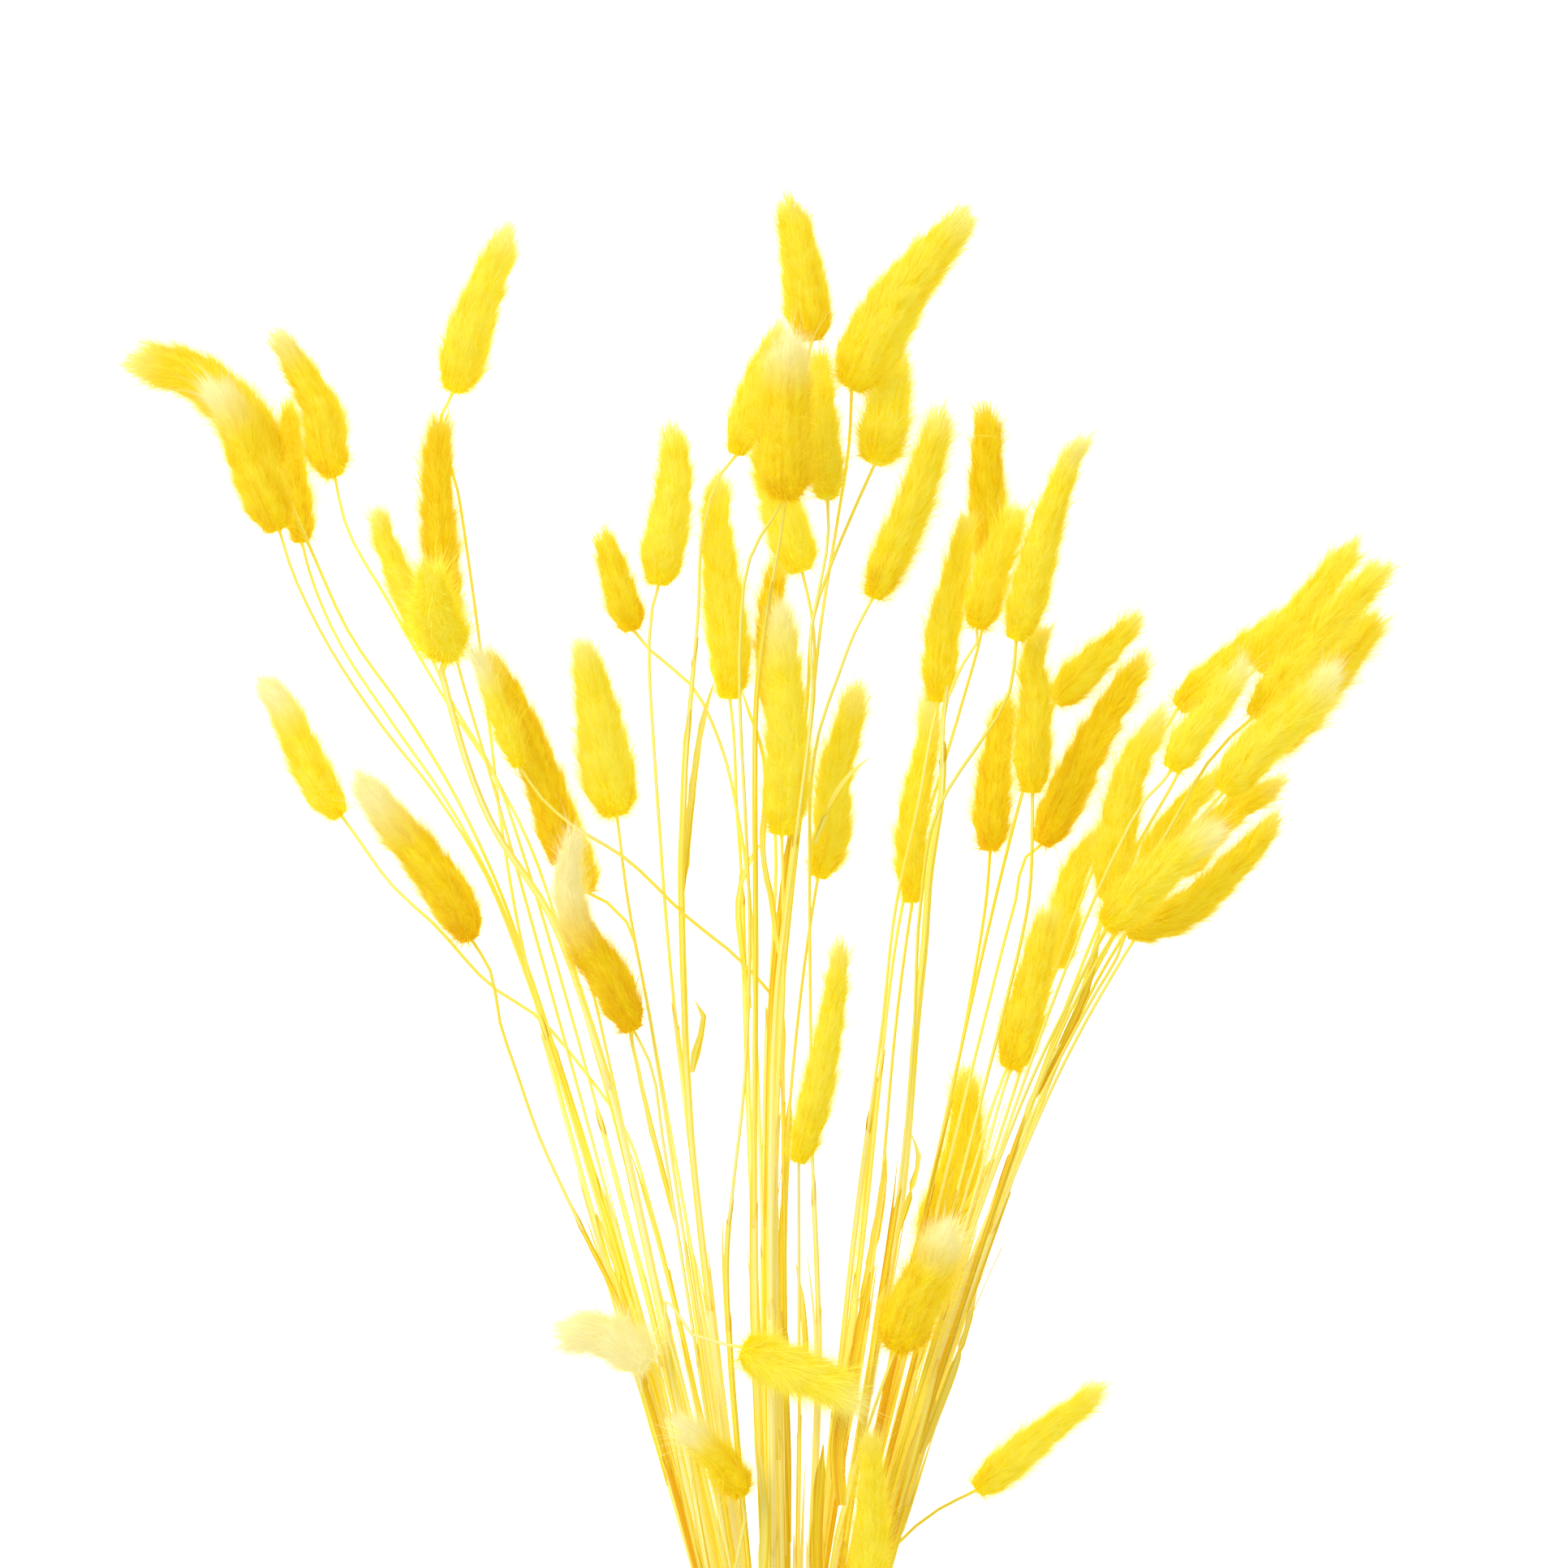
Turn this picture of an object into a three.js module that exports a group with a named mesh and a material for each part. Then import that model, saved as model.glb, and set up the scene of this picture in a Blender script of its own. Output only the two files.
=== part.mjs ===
// Dried bunny tail grass, dyed yellow: a tied bunch that lies on a surface. Millimetres, +Z up.
// The stems run along Y from their cut ends through the tie and fan out to the furry heads.
import * as THREE from 'three';

// The bunch is drawn as it is seen from straight above, in mm from the middle of the tie: x across, y along.
const eye = { x: -1.5, y: 325.5, height: 1600 };

// The tie: turns of twine wound side by side round the neck of the bunch.
const twine = {
  thickness: 2.4, turns: 3, sides: 28, arcSteps: 5, valley: 0.35, knotRise: 3.2, knotSpread: 0.3, flat: 0.6,
};
const neck = { rings: 4, pitch: 2.5, stemRadius: 1.08, halfLength: 7, clearance: 0.35 };
const bundleRadius = neck.rings * neck.pitch + neck.stemRadius + neck.clearance;
const neckHeight = bundleRadius + twine.thickness - twine.flat;

// How a stem's place at this distance from the tie, across and up, becomes its place in the neck.
const fan = { distance: 150, across: 0.16, up: 0.5, middleLift: 12 };

// Stems below the tie spread a little towards their cut ends.
const cutEnd = { length: 80, spread: 1.14, stagger: 5 };

// Stems are three-sided: thick where dry sheaths wrap them, thin under the head.
const stem = { sheathRadius: 1.25, topRadius: 0.62, sheathShare: 0.5, thinOver: 0.25, longestSpan: 39 };

// Heads: rows of tufts on an oval body, every third point of a triangular net pulled out and towards the tip.
const head = {
  around: 9, rowSpacing: 5, tuftRise: 1.7, tuftLean: 3.6, tipTuft: 2.2, fullest: 0.28,
  taperPower: 2.3, taperRoot: 0.55, coreMargin: 0.35, firstRow: 0.6, afterLastRow: 0.35,
  slimTuft: 0.6, baseLean: 0.55,
};

// Where a head rests, its fur is pressed flat by this much. Everything else clears the surface.
const restDepth = 0.9;
const floorGap = 0.05;

// Leaf blades that stand off the stems.
const leaf = { thickness: 0.75, rootLength: 4, rootOut: 1.6, step: 9, tipWidth: 1.1, spare: 0.3 };

// How the stems and heads settle clear of each other: mostly up and down, a little at a time.
const settling = {
  passes: 700, quietPasses: 150, listEvery: 20, reach: 12, gap: 0.45, stride: 1.5,
  sideways: 0.2, leastUp: 0.2, calm: 0.35, quietCalm: 0.035, headSpans: 7, endReach: 1.5, baseShare: 0.45,
};

const tiny = 1e-9;
const colours = { fur: 0xf7d21e, furShade: 0xe9b90e, twine: 0xb08a55 };

// One entry a flower. stem: points that it passes, from the tie up, with a height where it passes under a head.
// head: points along it, from base to tip.
// width: across the fur. heights: of the middle of its base and of its tip above the surface.
// leaves: root is the y at which the blade leaves the stem; its points are x, y and rise above the root.
const flowers = [
  {
    width: 16.5, heights: [22, 26],
    stem: [[-90, 295], [-118, 347], [-136, 373], [-146, 395]],
    head: [[-158, 423], [-169, 439], [-183, 451], [-202, 456]],
  },
  {
    width: 16, heights: [38, 44],
    stem: [[-93, 297], [-125, 343], [-145, 374], [-154, 394]],
    head: [[-157, 404], [-161, 413], [-167, 427], [-172, 440], [-178, 449]],
  },
  {
    width: 11.5, heights: [5, 6],
    stem: [[-92, 296], [-122, 344], [-141, 374], [-148, 392]],
    head: [[-150, 400], [-153, 423], [-154, 443]],
  },
  {
    width: 15, heights: [24, 34],
    stem: [[-80, 307], [-105, 350], [-123, 381], [-137, 407]],
    head: [[-140, 421], [-142, 427], [-144, 440], [-151, 453], [-158, 465]],
  },
  {
    width: 16, heights: [28, 44],
    stem: [[-83, 280], [-95, 367], [-102, 416], [-107, 439]],
    head: [[-103, 447], [-96, 471], [-86, 496]],
    leaves: [{ root: 140, width: 3.4, twist: 0.9, points: [[-47, 156, 2], [-52, 169, 4], [-56, 180, 6]] }],
  },
  {
    width: 12.5, heights: [40, 37],
    stem: [[-88, 314], [-100, 355]],
    head: [[-105, 374], [-108, 406], [-108, 438]],
  },
  {
    width: 11, heights: [30, 38],
    stem: [[-90, 327], [-106, 355]],
    head: [[-111, 367], [-114, 375], [-119, 387], [-124, 399], [-127, 411]],
  },
  {
    width: 16, heights: [58, 86], sheathShare: 0.96,
    stem: [[-53, 224], [-62, 254], [-73, 284], [-92, 314], [-105, 352], [-107, 360]],
    head: [[-105, 366], [-109, 379], [-110, 391]],
  },
  {
    width: 12.5, heights: [46, 50],
    stem: [[-12, 293], [-15, 313], [-21, 338], [-30, 356], [-43, 367]],
    head: [[-48, 373], [-53, 388], [-57, 403]],
    leaves: [
      {
        root: 255, width: 2.4, twist: 0.8,
        points: [[-14, 276, 2], [-15, 290, 3], [-12, 301, 5], [-6, 310, 6]],
      },
    ],
  },
  {
    width: 15, heights: [52, 56],
    stem: [[-36, 264], [-40, 314], [-43, 362], [-43, 370], [-42, 380]],
    head: [[-40, 387], [-39, 396], [-36, 412], [-35, 425], [-37, 435]],
  },
  {
    width: 14, heights: [40, 44],
    stem: [[-60, 260], [-67, 287]],
    head: [[-70, 301], [-73, 318], [-79, 336], [-87, 354], [-94, 365]],
  },
  {
    width: 12.5, heights: [20, 24],
    stem: [[-44, 260], [-46, 270], [-50, 283], [-56, 289]],
    head: [[-62, 292], [-69, 313], [-79, 334]],
  },
  {
    width: 8.5, heights: [58, 63],
    stem: [[-2, 240], [-2, 254], [-13, 269], [-32, 285], [-51, 303], [-67, 313], [-76, 321]],
    head: [[-83, 331], [-90, 349], [-97, 367]],
  },
  {
    width: 14.5, heights: [58, 68],
    stem: [[-39, 217], [-43, 240]],
    head: [[-48, 250], [-55, 265], [-64, 279], [-68, 293], [-66, 310]],
    leaves: [
      {
        root: 192, width: 2, twist: 1.2,
        points: [[-40, 210, 2], [-46, 235, 4], [-49, 254, 5], [-46, 267, 7]],
      },
    ],
  },
  {
    width: 18, heights: [48, 54],
    stem: [[-43, 254], [-50, 292]],
    head: [[-53, 316], [-57, 336], [-60, 354], [-64, 369]],
  },
  {
    width: 13, heights: [26, 30],
    stem: [[-50, 218], [-63, 237], [-79, 255], [-90, 262], [-110, 283], [-122, 294], [-133, 309]],
    head: [[-138, 316], [-143, 322], [-150, 336], [-156, 349], [-163, 358]],
  },
  {
    width: 15.5, heights: [34, 44],
    stem: [[-53, 167], [-60, 181], [-77, 217], [-84, 237], [-89, 252], [-92, 268]],
    head: [[-98, 278], [-104, 290], [-114, 304], [-124, 316], [-132, 328]],
    leaves: [{ root: 140, width: 3, twist: 0.9, points: [[-46, 155, 3], [-52, 174, 5], [-59, 193, 6]] }],
  },
  {
    width: 15.5, heights: [76, 80],
    stem: [[-9, 154], [-9, 208], [-8, 270], [-7, 351], [-4, 378], [-1, 398], [1, 417], [3, 440], [6, 455]],
    head: [[7, 462], [5, 478], [3, 490], [0, 505]],
  },
  {
    width: 11.5, heights: [66, 70], sheathShare: 0.82,
    stem: [[-30, 217], [-32, 257], [-33, 302], [-32, 330], [-28, 377], [-26, 406], [-21, 421]],
    head: [[-16, 427], [-13, 439], [-9, 452], [-2, 466]],
    leaves: [
      { root: 316, width: 3, twist: 0.4, points: [[-29, 329, 2], [-27, 343, 3], [-23, 357, 1]] },
      { root: 236, width: 3, twist: 0.3, points: [[-28, 246, 2], [-26, 252, 3], [-29, 259, 5]] },
    ],
  },
  {
    width: 18, heights: [84, 98],
    stem: [[-18, 150], [-19, 182], [-14, 229], [-12, 279], [-15, 349], [-15, 370], [-12, 395]],
    head: [[-1, 414], [-1, 434], [0, 462]],
  },
  {
    width: 15, heights: [54, 52],
    stem: [[-6, 154], [-6, 208], [-5, 262], [3, 320], [8, 359], [7, 378]],
    head: [[4, 391], [-3, 412], [-9, 432]],
  },
  {
    width: 12, heights: [72, 58],
    stem: [[-5, 154], [-5, 208], [-3, 262], [4, 320], [8, 354], [8, 374], [10, 382], [14, 404]],
    head: [[14, 414], [13, 430], [11, 459]],
  },
  {
    width: 14.5, heights: [36, 40],
    stem: [[-11, 208], [-14, 303], [-15, 317], [-16, 342]],
    head: [[-17, 352], [-17, 364], [-19, 383], [-21, 402], [-21, 421]],
  },
  {
    width: 20, heights: [72, 92],
    stem: [[-4, 154], [-4, 208], [-2, 262], [5, 330], [10, 375, 52], [15, 405, 56], [19, 430, 60]],
    head: [[20, 448], [27, 462], [36, 477], [49, 493], [57, 501]],
  },
  {
    width: 15.5, heights: [70, 60],
    stem: [[-7, 154], [-7, 208], [-6, 262], [0, 320], [4, 350], [6, 377], [12, 395], [17, 407], [20, 414]],
    head: [[25, 425], [29, 442], [31, 458]],
  },
  {
    width: 13, heights: [66, 72],
    stem: [[9, 151], [7, 209], [6, 295], [6, 320], [9, 342], [15, 359], [20, 372]],
    head: [[26, 383], [32, 397], [39, 413], [44, 429], [48, 441]],
    leaves: [{ root: 305, width: 2.2, twist: 1.4, points: [[11, 316, 3], [18, 328, 5], [25, 334, 8]] }],
  },
  {
    width: 12.5, heights: [24, 30],
    stem: [[19.5, 158], [24.5, 201], [29.5, 249], [35, 288], [46, 326], [60, 375]],
    head: [[62, 392], [61, 413], [61, 429], [61, 441]],
  },
  {
    width: 13.5, heights: [52, 60], sheathShare: 0.9,
    stem: [[28, 158], [35, 201], [39, 249], [42, 279], [43, 295], [47, 323], [49, 352], [54, 363], [58, 369]],
    head: [[58, 374], [63, 392], [71, 411]],
  },
  {
    width: 13.5, heights: [64, 74],
    stem: [[27, 158], [34, 201], [38.5, 249], [40.5, 288], [46, 318], [53, 330], [58, 337], [64, 346], [68, 354]],
    head: [[70, 370], [74, 384], [78, 400], [82, 413], [88, 427], [93, 432]],
    leaves: [{ root: 186, width: 2.4, twist: 1.2, points: [[38, 202, 3], [40, 212, 5], [37, 219, 6]] }],
  },
  {
    width: 12.5, heights: [40, 46],
    stem: [[17, 158], [22, 201], [28.5, 249], [33, 288], [40, 320], [44, 342]],
    head: [[46, 351], [47, 368], [50, 384], [53, 397], [54, 409]],
    leaves: [
      {
        root: 118, width: 4.2, twist: 0.3,
        points: [[20, 140, 3], [23, 165, 4], [27, 190, 5], [30, 211, 5]],
      },
    ],
  },
  {
    width: 11.5, heights: [26, 24],
    stem: [[23, 158], [28.5, 201], [32, 242], [36.5, 279]],
    head: [[38, 289], [38, 312], [40, 325], [43, 341], [44, 355]],
    leaves: [{ root: 176, width: 3, twist: 0.5, points: [[27, 187, 3], [29, 200, 5], [30, 213, 6]] }],
  },
  {
    width: 13, heights: [20, 22],
    stem: [[52, 239], [57, 266], [61, 292]],
    head: [[62, 305], [63, 325], [65, 341], [68, 353]],
    leaves: [{ root: 182, width: 3, twist: 0.7, points: [[53, 192, 3], [57, 200, 4], [63, 211, 5]] }],
  },
  {
    width: 13, heights: [48, 54],
    stem: [[72, 279], [74, 290], [75, 308]],
    head: [[75, 323], [75, 338], [76, 351], [75, 363], [79, 374]],
  },
  {
    width: 13, heights: [28, 30],
    stem: [[66, 300], [78, 342]],
    head: [[82, 351], [91, 360], [109, 377]],
  },
  {
    width: 14.5, heights: [22, 28],
    stem: [[67, 279], [70, 290], [73, 303]],
    head: [[78, 307], [87, 325], [95, 341], [109, 364]],
  },
  {
    width: 12.5, heights: [44, 52],
    stem: [[50, 154], [98, 288], [118, 325], [132, 350]],
    head: [[144, 361], [160, 381], [176, 401]],
  },
  {
    width: 12.5, heights: [26, 30],
    stem: [[46, 154], [90, 290], [113, 339], [117, 344]],
    head: [[120, 349], [136, 363], [152, 377]],
  },
  {
    width: 12, heights: [62, 66],
    stem: [[46, 154], [92, 285], [110, 321], [115, 326]],
    head: [[118, 330], [122, 337], [129, 346], [135, 354], [141, 362]],
  },
  {
    width: 12.5, heights: [54, 62],
    stem: [[49, 154], [92, 270], [116, 310], [124, 324], [129, 332], [136, 340]],
    head: [[143, 346], [159, 366], [168, 376], [184, 393]],
  },
  {
    width: 15, heights: [7, 7.5],
    stem: [[51.5, 154], [95, 265], [132, 318]],
    head: [[148, 336], [165, 357], [181, 378]],
  },
  {
    width: 15, heights: [72, 78],
    stem: [[50, 154], [90, 262], [124, 312]],
    head: [[134, 323], [146, 338], [157, 347], [168, 360]],
  },
  {
    width: 14, heights: [40, 46],
    stem: [[77, 232], [87, 252], [94, 274]],
    head: [[99, 290], [101, 305], [103, 318], [107, 332], [116, 347]],
    leaves: [
      { root: 228, width: 3.2, twist: 1.2, points: [[82, 241, 3], [88, 253, 5], [93, 266, 7], [96, 279, 7]] },
    ],
  },
  {
    width: 11.5, heights: [18, 22],
    stem: [[66, 235], [80, 262]],
    head: [[83, 269], [88, 298], [98, 312]],
  },
  {
    width: 14.5, heights: [36, 40],
    stem: [[60, 210], [66, 232]],
    head: [[68, 238], [74, 262], [80, 287]],
  },
  {
    width: 15, heights: [78, 86],
    stem: [[45, 154], [75, 235], [92, 270]],
    head: [[98, 282], [103, 287], [112, 296], [124, 306], [132, 311]],
  },
  {
    width: 11.5, heights: [42, 48],
    stem: [[50.5, 154], [85, 240], [112, 286]],
    head: [[121, 298], [132, 313], [152, 326]],
    leaves: [{ root: 120, width: 3.4, twist: 0.8, points: [[47, 136, 3], [54, 155, 5], [58, 170, 7]] }],
  },
  {
    width: 13, heights: [56, 58],
    stem: [[47, 154], [78, 230], [95, 262], [101, 272]],
    head: [[104, 280], [119, 285], [129, 292], [139, 302], [151, 315]],
  },
  {
    width: 11.5, heights: [20, 25],
    stem: [[51, 154], [88, 255], [104, 286]],
    head: [[109, 296], [115, 308], [122, 318], [133, 329]],
  },
  {
    width: 11.5, heights: [66, 70],
    stem: [[3, 130, 30], [3, 154, 38], [3, 192, 54]],
    head: [[3, 209], [7, 224], [11, 242], [14, 259], [16, 276]],
    leaves: [{ root: 140, width: 2.6, twist: 0.5, points: [[5, 151, 3], [4, 164, 4], [2, 178, 5]] }],
  },
  {
    width: 15, heights: [7, 7.5],
    stem: [[38, 150], [43, 172]],
    head: [[46, 182], [56, 209], [57, 236]],
  },
  {
    width: 18, heights: [54, 66],
    stem: [[20, 110], [29, 140]],
    head: [[33, 152], [38, 164], [45, 178], [49, 189]],
    leaves: [{ root: 106, width: 5.5, twist: 0.3, points: [[17, 122, -4], [22, 147, -8], [27, 175, -9]] }],
  },
  {
    width: 15.5, heights: [58, 58],
    stem: [[-24, 104], [-33, 142], [-38, 161], [-38, 166], [-36, 165], [-30, 156], [-20, 153]],
    head: [[-14, 152], [-4, 147], [10, 142], [21, 135]],
  },
  {
    width: 15, heights: [42, 38],
    stem: [[-32, 104], [-37, 132], [-39, 142]],
    head: [[-43, 147], [-56, 155], [-70, 157]],
  },
  {
    width: 13, heights: [42, 46],
    stem: [[-17, 84], [-14, 99]],
    head: [[-15, 107], [-24, 119], [-35, 129]],
    leaves: [{ root: 52, width: 4, twist: 0.3, points: [[-9, 75, 3], [-8, 100, 5], [-11, 128, 6]] }],
  },
  {
    width: 14, heights: [40, 48],
    stem: [[19, 60]],
    head: [[22, 69], [24, 85], [25, 104], [24, 126]],
    leaves: [{ root: 54, width: 5.5, twist: 0.3, points: [[11, 72, -4], [12, 96, -8], [16, 122, -10]] }],
  },
  {
    width: 11, heights: [5, 6],
    stem: [[22, 70], [33, 91], [46, 102]],
    head: [[58, 108], [77, 124], [96, 139]],
  },
  {
    width: 15.5, heights: [58, 62],
    stem: [[-3, 154], [-3, 208], [0, 255], [1, 279], [1, 300]],
    head: [[1, 310], [3, 329], [2, 354], [1, 380]],
    leaves: [
      {
        root: 272, width: 2.2, twist: 1.5,
        points: [[-3, 288, 3], [-6, 306, 4], [-5, 330, 5], [-13, 356, 4]],
      },
    ],
  },
  {
    width: 11.5, heights: [36, 38],
    stem: [[-8, 154], [-8, 208], [-7, 255], [-5, 300], [-6, 330]],
    head: [[-5, 345], [-7, 377], [-4, 395]],
  },
  {
    width: 13.5, heights: [34, 40],
    stem: [[-2, 154], [-1, 208], [3, 255], [7, 285]],
    head: [[9, 297], [13, 309], [14, 327], [18, 342], [21, 356]],
  },
];

// A point that is seen from above at x, y and lies at the given height.
function placed(x, y, height) {
  const share = (eye.height - height) / eye.height;
  return new THREE.Vector3(eye.x + (x - eye.x) * share, eye.y + (y - eye.y) * share, height);
}

// Places in the neck: one in the middle and six more in each ring round it.
function neckSlots() {
  const slots = [new THREE.Vector2(0, 0)];
  for (let ring = 1; ring <= neck.rings; ring += 1) {
    const count = ring * 6;
    for (let k = 0; k < count; k += 1) {
      const angle = (k / count) * Math.PI * 2;
      slots.push(new THREE.Vector2(Math.cos(angle), Math.sin(angle)).multiplyScalar(ring * neck.pitch));
    }
  }
  return slots;
}

// Each stem takes the slot that lies on its own side of the neck, so that the stems fan out without crossing.
function chooseSlots() {
  const slots = neckSlots();
  const aims = flowers.map((flower) => {
    const route = [[0, 0], ...flower.stem, ...flower.head];
    const after = Math.max(1, route.findIndex((point) => Math.hypot(point[0], point[1]) > fan.distance));
    const [fromX, fromY] = route[after - 1];
    const [toX, toY] = route[after];
    const share = Math.min(1, Math.max(0, (fan.distance - fromY) / (toY - fromY || 1)));
    const reach = Math.hypot(flower.head[0][0], flower.head[0][1]);
    const lift = ((flower.heights[0] - neckHeight) * fan.distance) / reach;
    const sideways = fromX + (toX - fromX) * share;
    return new THREE.Vector2(sideways * fan.across, (lift - fan.middleLift) * fan.up);
  });
  const chosen = aims.map((aim, index) => index);
  const cost = (flower, slot) => (slot < slots.length ? aims[flower].distanceToSquared(slots[slot]) : 0);
  let swapped = true;
  while (swapped) {
    swapped = false;
    for (let a = 0; a < chosen.length; a += 1) {
      for (let slot = 0; slot < slots.length; slot += 1) {
        const b = chosen.indexOf(slot);
        const before = cost(a, chosen[a]) + (b >= 0 ? cost(b, slot) : 0);
        const after = cost(a, slot) + (b >= 0 ? cost(b, chosen[a]) : 0);
        if (after < before - tiny) {
          if (b >= 0) {
            chosen[b] = chosen[a];
          }
          chosen[a] = slot;
          swapped = true;
        }
      }
    }
  }
  return chosen.map((slot) => slots[slot]);
}

// How full the head is at a share of its length: round at the base, fullest low down, tapering to the tip.
function fullness(share) {
  if (share < head.fullest) {
    const low = share / head.fullest;
    return Math.sqrt(low * (2 - low));
  }
  const high = (share - head.fullest) / (1 - head.fullest);
  return Math.max(0, 1 - high ** head.taperPower) ** head.taperRoot;
}

// The middle line of the head, which moves as one piece when the bunch settles.
function headCurve(flower) {
  const [low, high] = flower.heights;
  const last = flower.head.length - 1;
  return new THREE.CatmullRomCurve3(
    flower.head.map(([x, y], k) => placed(x, y, low + ((high - low) * k) / last)),
    false,
    'centripetal',
  );
}

// The middle line of the stem: cut end, neck, the points that it passes, and the base of the head.
function stemRoute(flower, slot, index) {
  const foot = slot.clone().multiplyScalar(cutEnd.spread);
  const stagger = ((index * 7) % 5) / 4 - 0.5;
  const below = new THREE.Vector3(slot.x, -neck.halfLength, neckHeight + slot.y);
  const above = new THREE.Vector3(slot.x, neck.halfLength, neckHeight + slot.y);
  const end = new THREE.Vector3(foot.x, -cutEnd.length + stagger * cutEnd.stagger, neckHeight + foot.y);
  const seen = [[slot.x, neck.halfLength], ...flower.stem, flower.head[0]];
  const lengths = [0];
  for (let k = 1; k < seen.length; k += 1) {
    lengths.push(lengths[k - 1] + Math.hypot(seen[k][0] - seen[k - 1][0], seen[k][1] - seen[k - 1][1]));
  }
  const whole = lengths[lengths.length - 1];
  const knots = seen.map(([x, y, given], k) => {
    const even = above.z + ((flower.heights[0] - above.z) * lengths[k]) / whole;
    return k === 0 ? above : placed(x, y, given ?? even);
  });
  const firstHeadPoint = headCurve(flower).getPoint(0.25);
  const curve = new THREE.CatmullRomCurve3([below, ...knots, firstHeadPoint], false, 'centripetal');
  const route = [end, below, above];
  for (let k = 1; k < knots.length; k += 1) {
    const spans = Math.ceil(knots[k].distanceTo(knots[k - 1]) / stem.longestSpan);
    for (let step = 1; step <= spans; step += 1) {
      route.push(curve.getPoint((k + step / spans) / (knots.length + 1)));
    }
  }
  return route;
}

// A leaf needs two rings of the stem close together at its root.
function addLeafRoot(route, root) {
  let k = 3;
  while (k < route.length - 1 && route[k].y < root) {
    k += 1;
  }
  const along = route[k].clone().sub(route[k - 1]);
  const length = along.length();
  const share = Math.min(0.85, Math.max(0.1, (root - route[k - 1].y) / (route[k].y - route[k - 1].y)));
  const start = route[k - 1].clone().addScaledVector(along, share);
  const finish = start.clone().addScaledVector(along, Math.min(leaf.rootLength / length, (1 - share) * 0.8));
  route.splice(k, 0, start, finish);
  return k;
}

// The lowest sheath ends part of the way up; above it the stem thins towards the head.
function stemRadius(flower, share) {
  const sheathed = flower.sheathShare ?? stem.sheathShare;
  const thinned = Math.min(1, Math.max(0, (share - sheathed) / stem.thinOver));
  return stem.sheathRadius + (stem.topRadius - stem.sheathRadius) * thinned;
}

// Everything about a flower that settling needs: chains of points with a radius at each.
function layOut(flower, slot, index) {
  const route = stemRoute(flower, slot, index);
  const leafRoots = (flower.leaves ?? []).map((blade) => addLeafRoot(route, blade.root));
  const lengths = [0];
  for (let k = 1; k < route.length; k += 1) {
    lengths.push(lengths[k - 1] + route[k].distanceTo(route[k - 1]));
  }
  const whole = lengths[route.length - 1];
  const radii = route.map((point, k) => (k < 3 ? neck.stemRadius : stemRadius(flower, lengths[k] / whole)));
  const curve = headCurve(flower);
  const points = route.slice();
  const reach = radii.slice();
  for (let step = 1; step <= settling.headSpans; step += 1) {
    const share = step / settling.headSpans;
    points.push(curve.getPointAt(share));
    reach.push(Math.max(settling.endReach, (flower.width / 2) * fullness(Math.min(0.93, share))));
  }
  reach[route.length - 1] = (flower.width / 2) * settling.baseShare;
  const chains = [{ flower: index, points, reach, firstFree: 3, headFrom: route.length - 1 }];
  (flower.leaves ?? []).forEach((blade, number) => {
    const root = route[leafRoots[number]];
    const rootHeight = root.z;
    const bladePoints = blade.points.map(([x, y, rise]) => placed(x, y, rootHeight + rise));
    const bladeReach = bladePoints.map((point, k) =>
      k === bladePoints.length - 1 ? leaf.thickness : blade.width / 2 + leaf.spare,
    );
    chains.push({
      flower: index, points: [root.clone(), ...bladePoints], reach: [stem.sheathRadius, ...bladeReach],
      firstFree: 0, headFrom: Infinity, rootAt: leafRoots[number],
    });
  });
  return { flower, index, chains, radii, route, leafRoots };
}

// The nearest points of two straight spans, as shares along them.
function nearestShares(a, b, c, d) {
  const first = b.clone().sub(a);
  const second = d.clone().sub(c);
  const apart = a.clone().sub(c);
  const lengthA = first.lengthSq();
  const lengthB = second.lengthSq();
  const across = first.dot(second);
  const alongA = first.dot(apart);
  const alongB = second.dot(apart);
  const cross = lengthA * lengthB - across * across;
  const clamp = (value) => Math.min(1, Math.max(0, value));
  let s = cross > tiny ? clamp((across * alongB - alongA * lengthB) / cross) : 0.5;
  const t = clamp((across * s + alongB) / lengthB);
  s = clamp((across * t - alongA) / lengthA);
  return [s, t];
}

// Spans of different flowers that are near enough to touch while the bunch settles.
function nearSpans(chains) {
  const spans = [];
  chains.forEach((chain) => {
    for (let k = 0; k < chain.points.length - 1; k += 1) {
      if (k + 1 >= chain.firstFree) {
        const middle = chain.points[k].clone().add(chain.points[k + 1]).multiplyScalar(0.5);
        const half = chain.points[k].distanceTo(chain.points[k + 1]) / 2;
        const size = half + Math.max(chain.reach[k], chain.reach[k + 1]);
        spans.push({ chain, k, middle, size });
      }
    }
  });
  const pairs = [];
  for (let a = 0; a < spans.length; a += 1) {
    for (let b = a + 1; b < spans.length; b += 1) {
      const near = spans[a].size + spans[b].size + settling.reach;
      const apart = spans[a].middle.distanceToSquared(spans[b].middle);
      if (spans[a].chain.flower !== spans[b].chain.flower && apart < near * near) {
        pairs.push([spans[a], spans[b]]);
      }
    }
  }
  return pairs;
}

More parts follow.
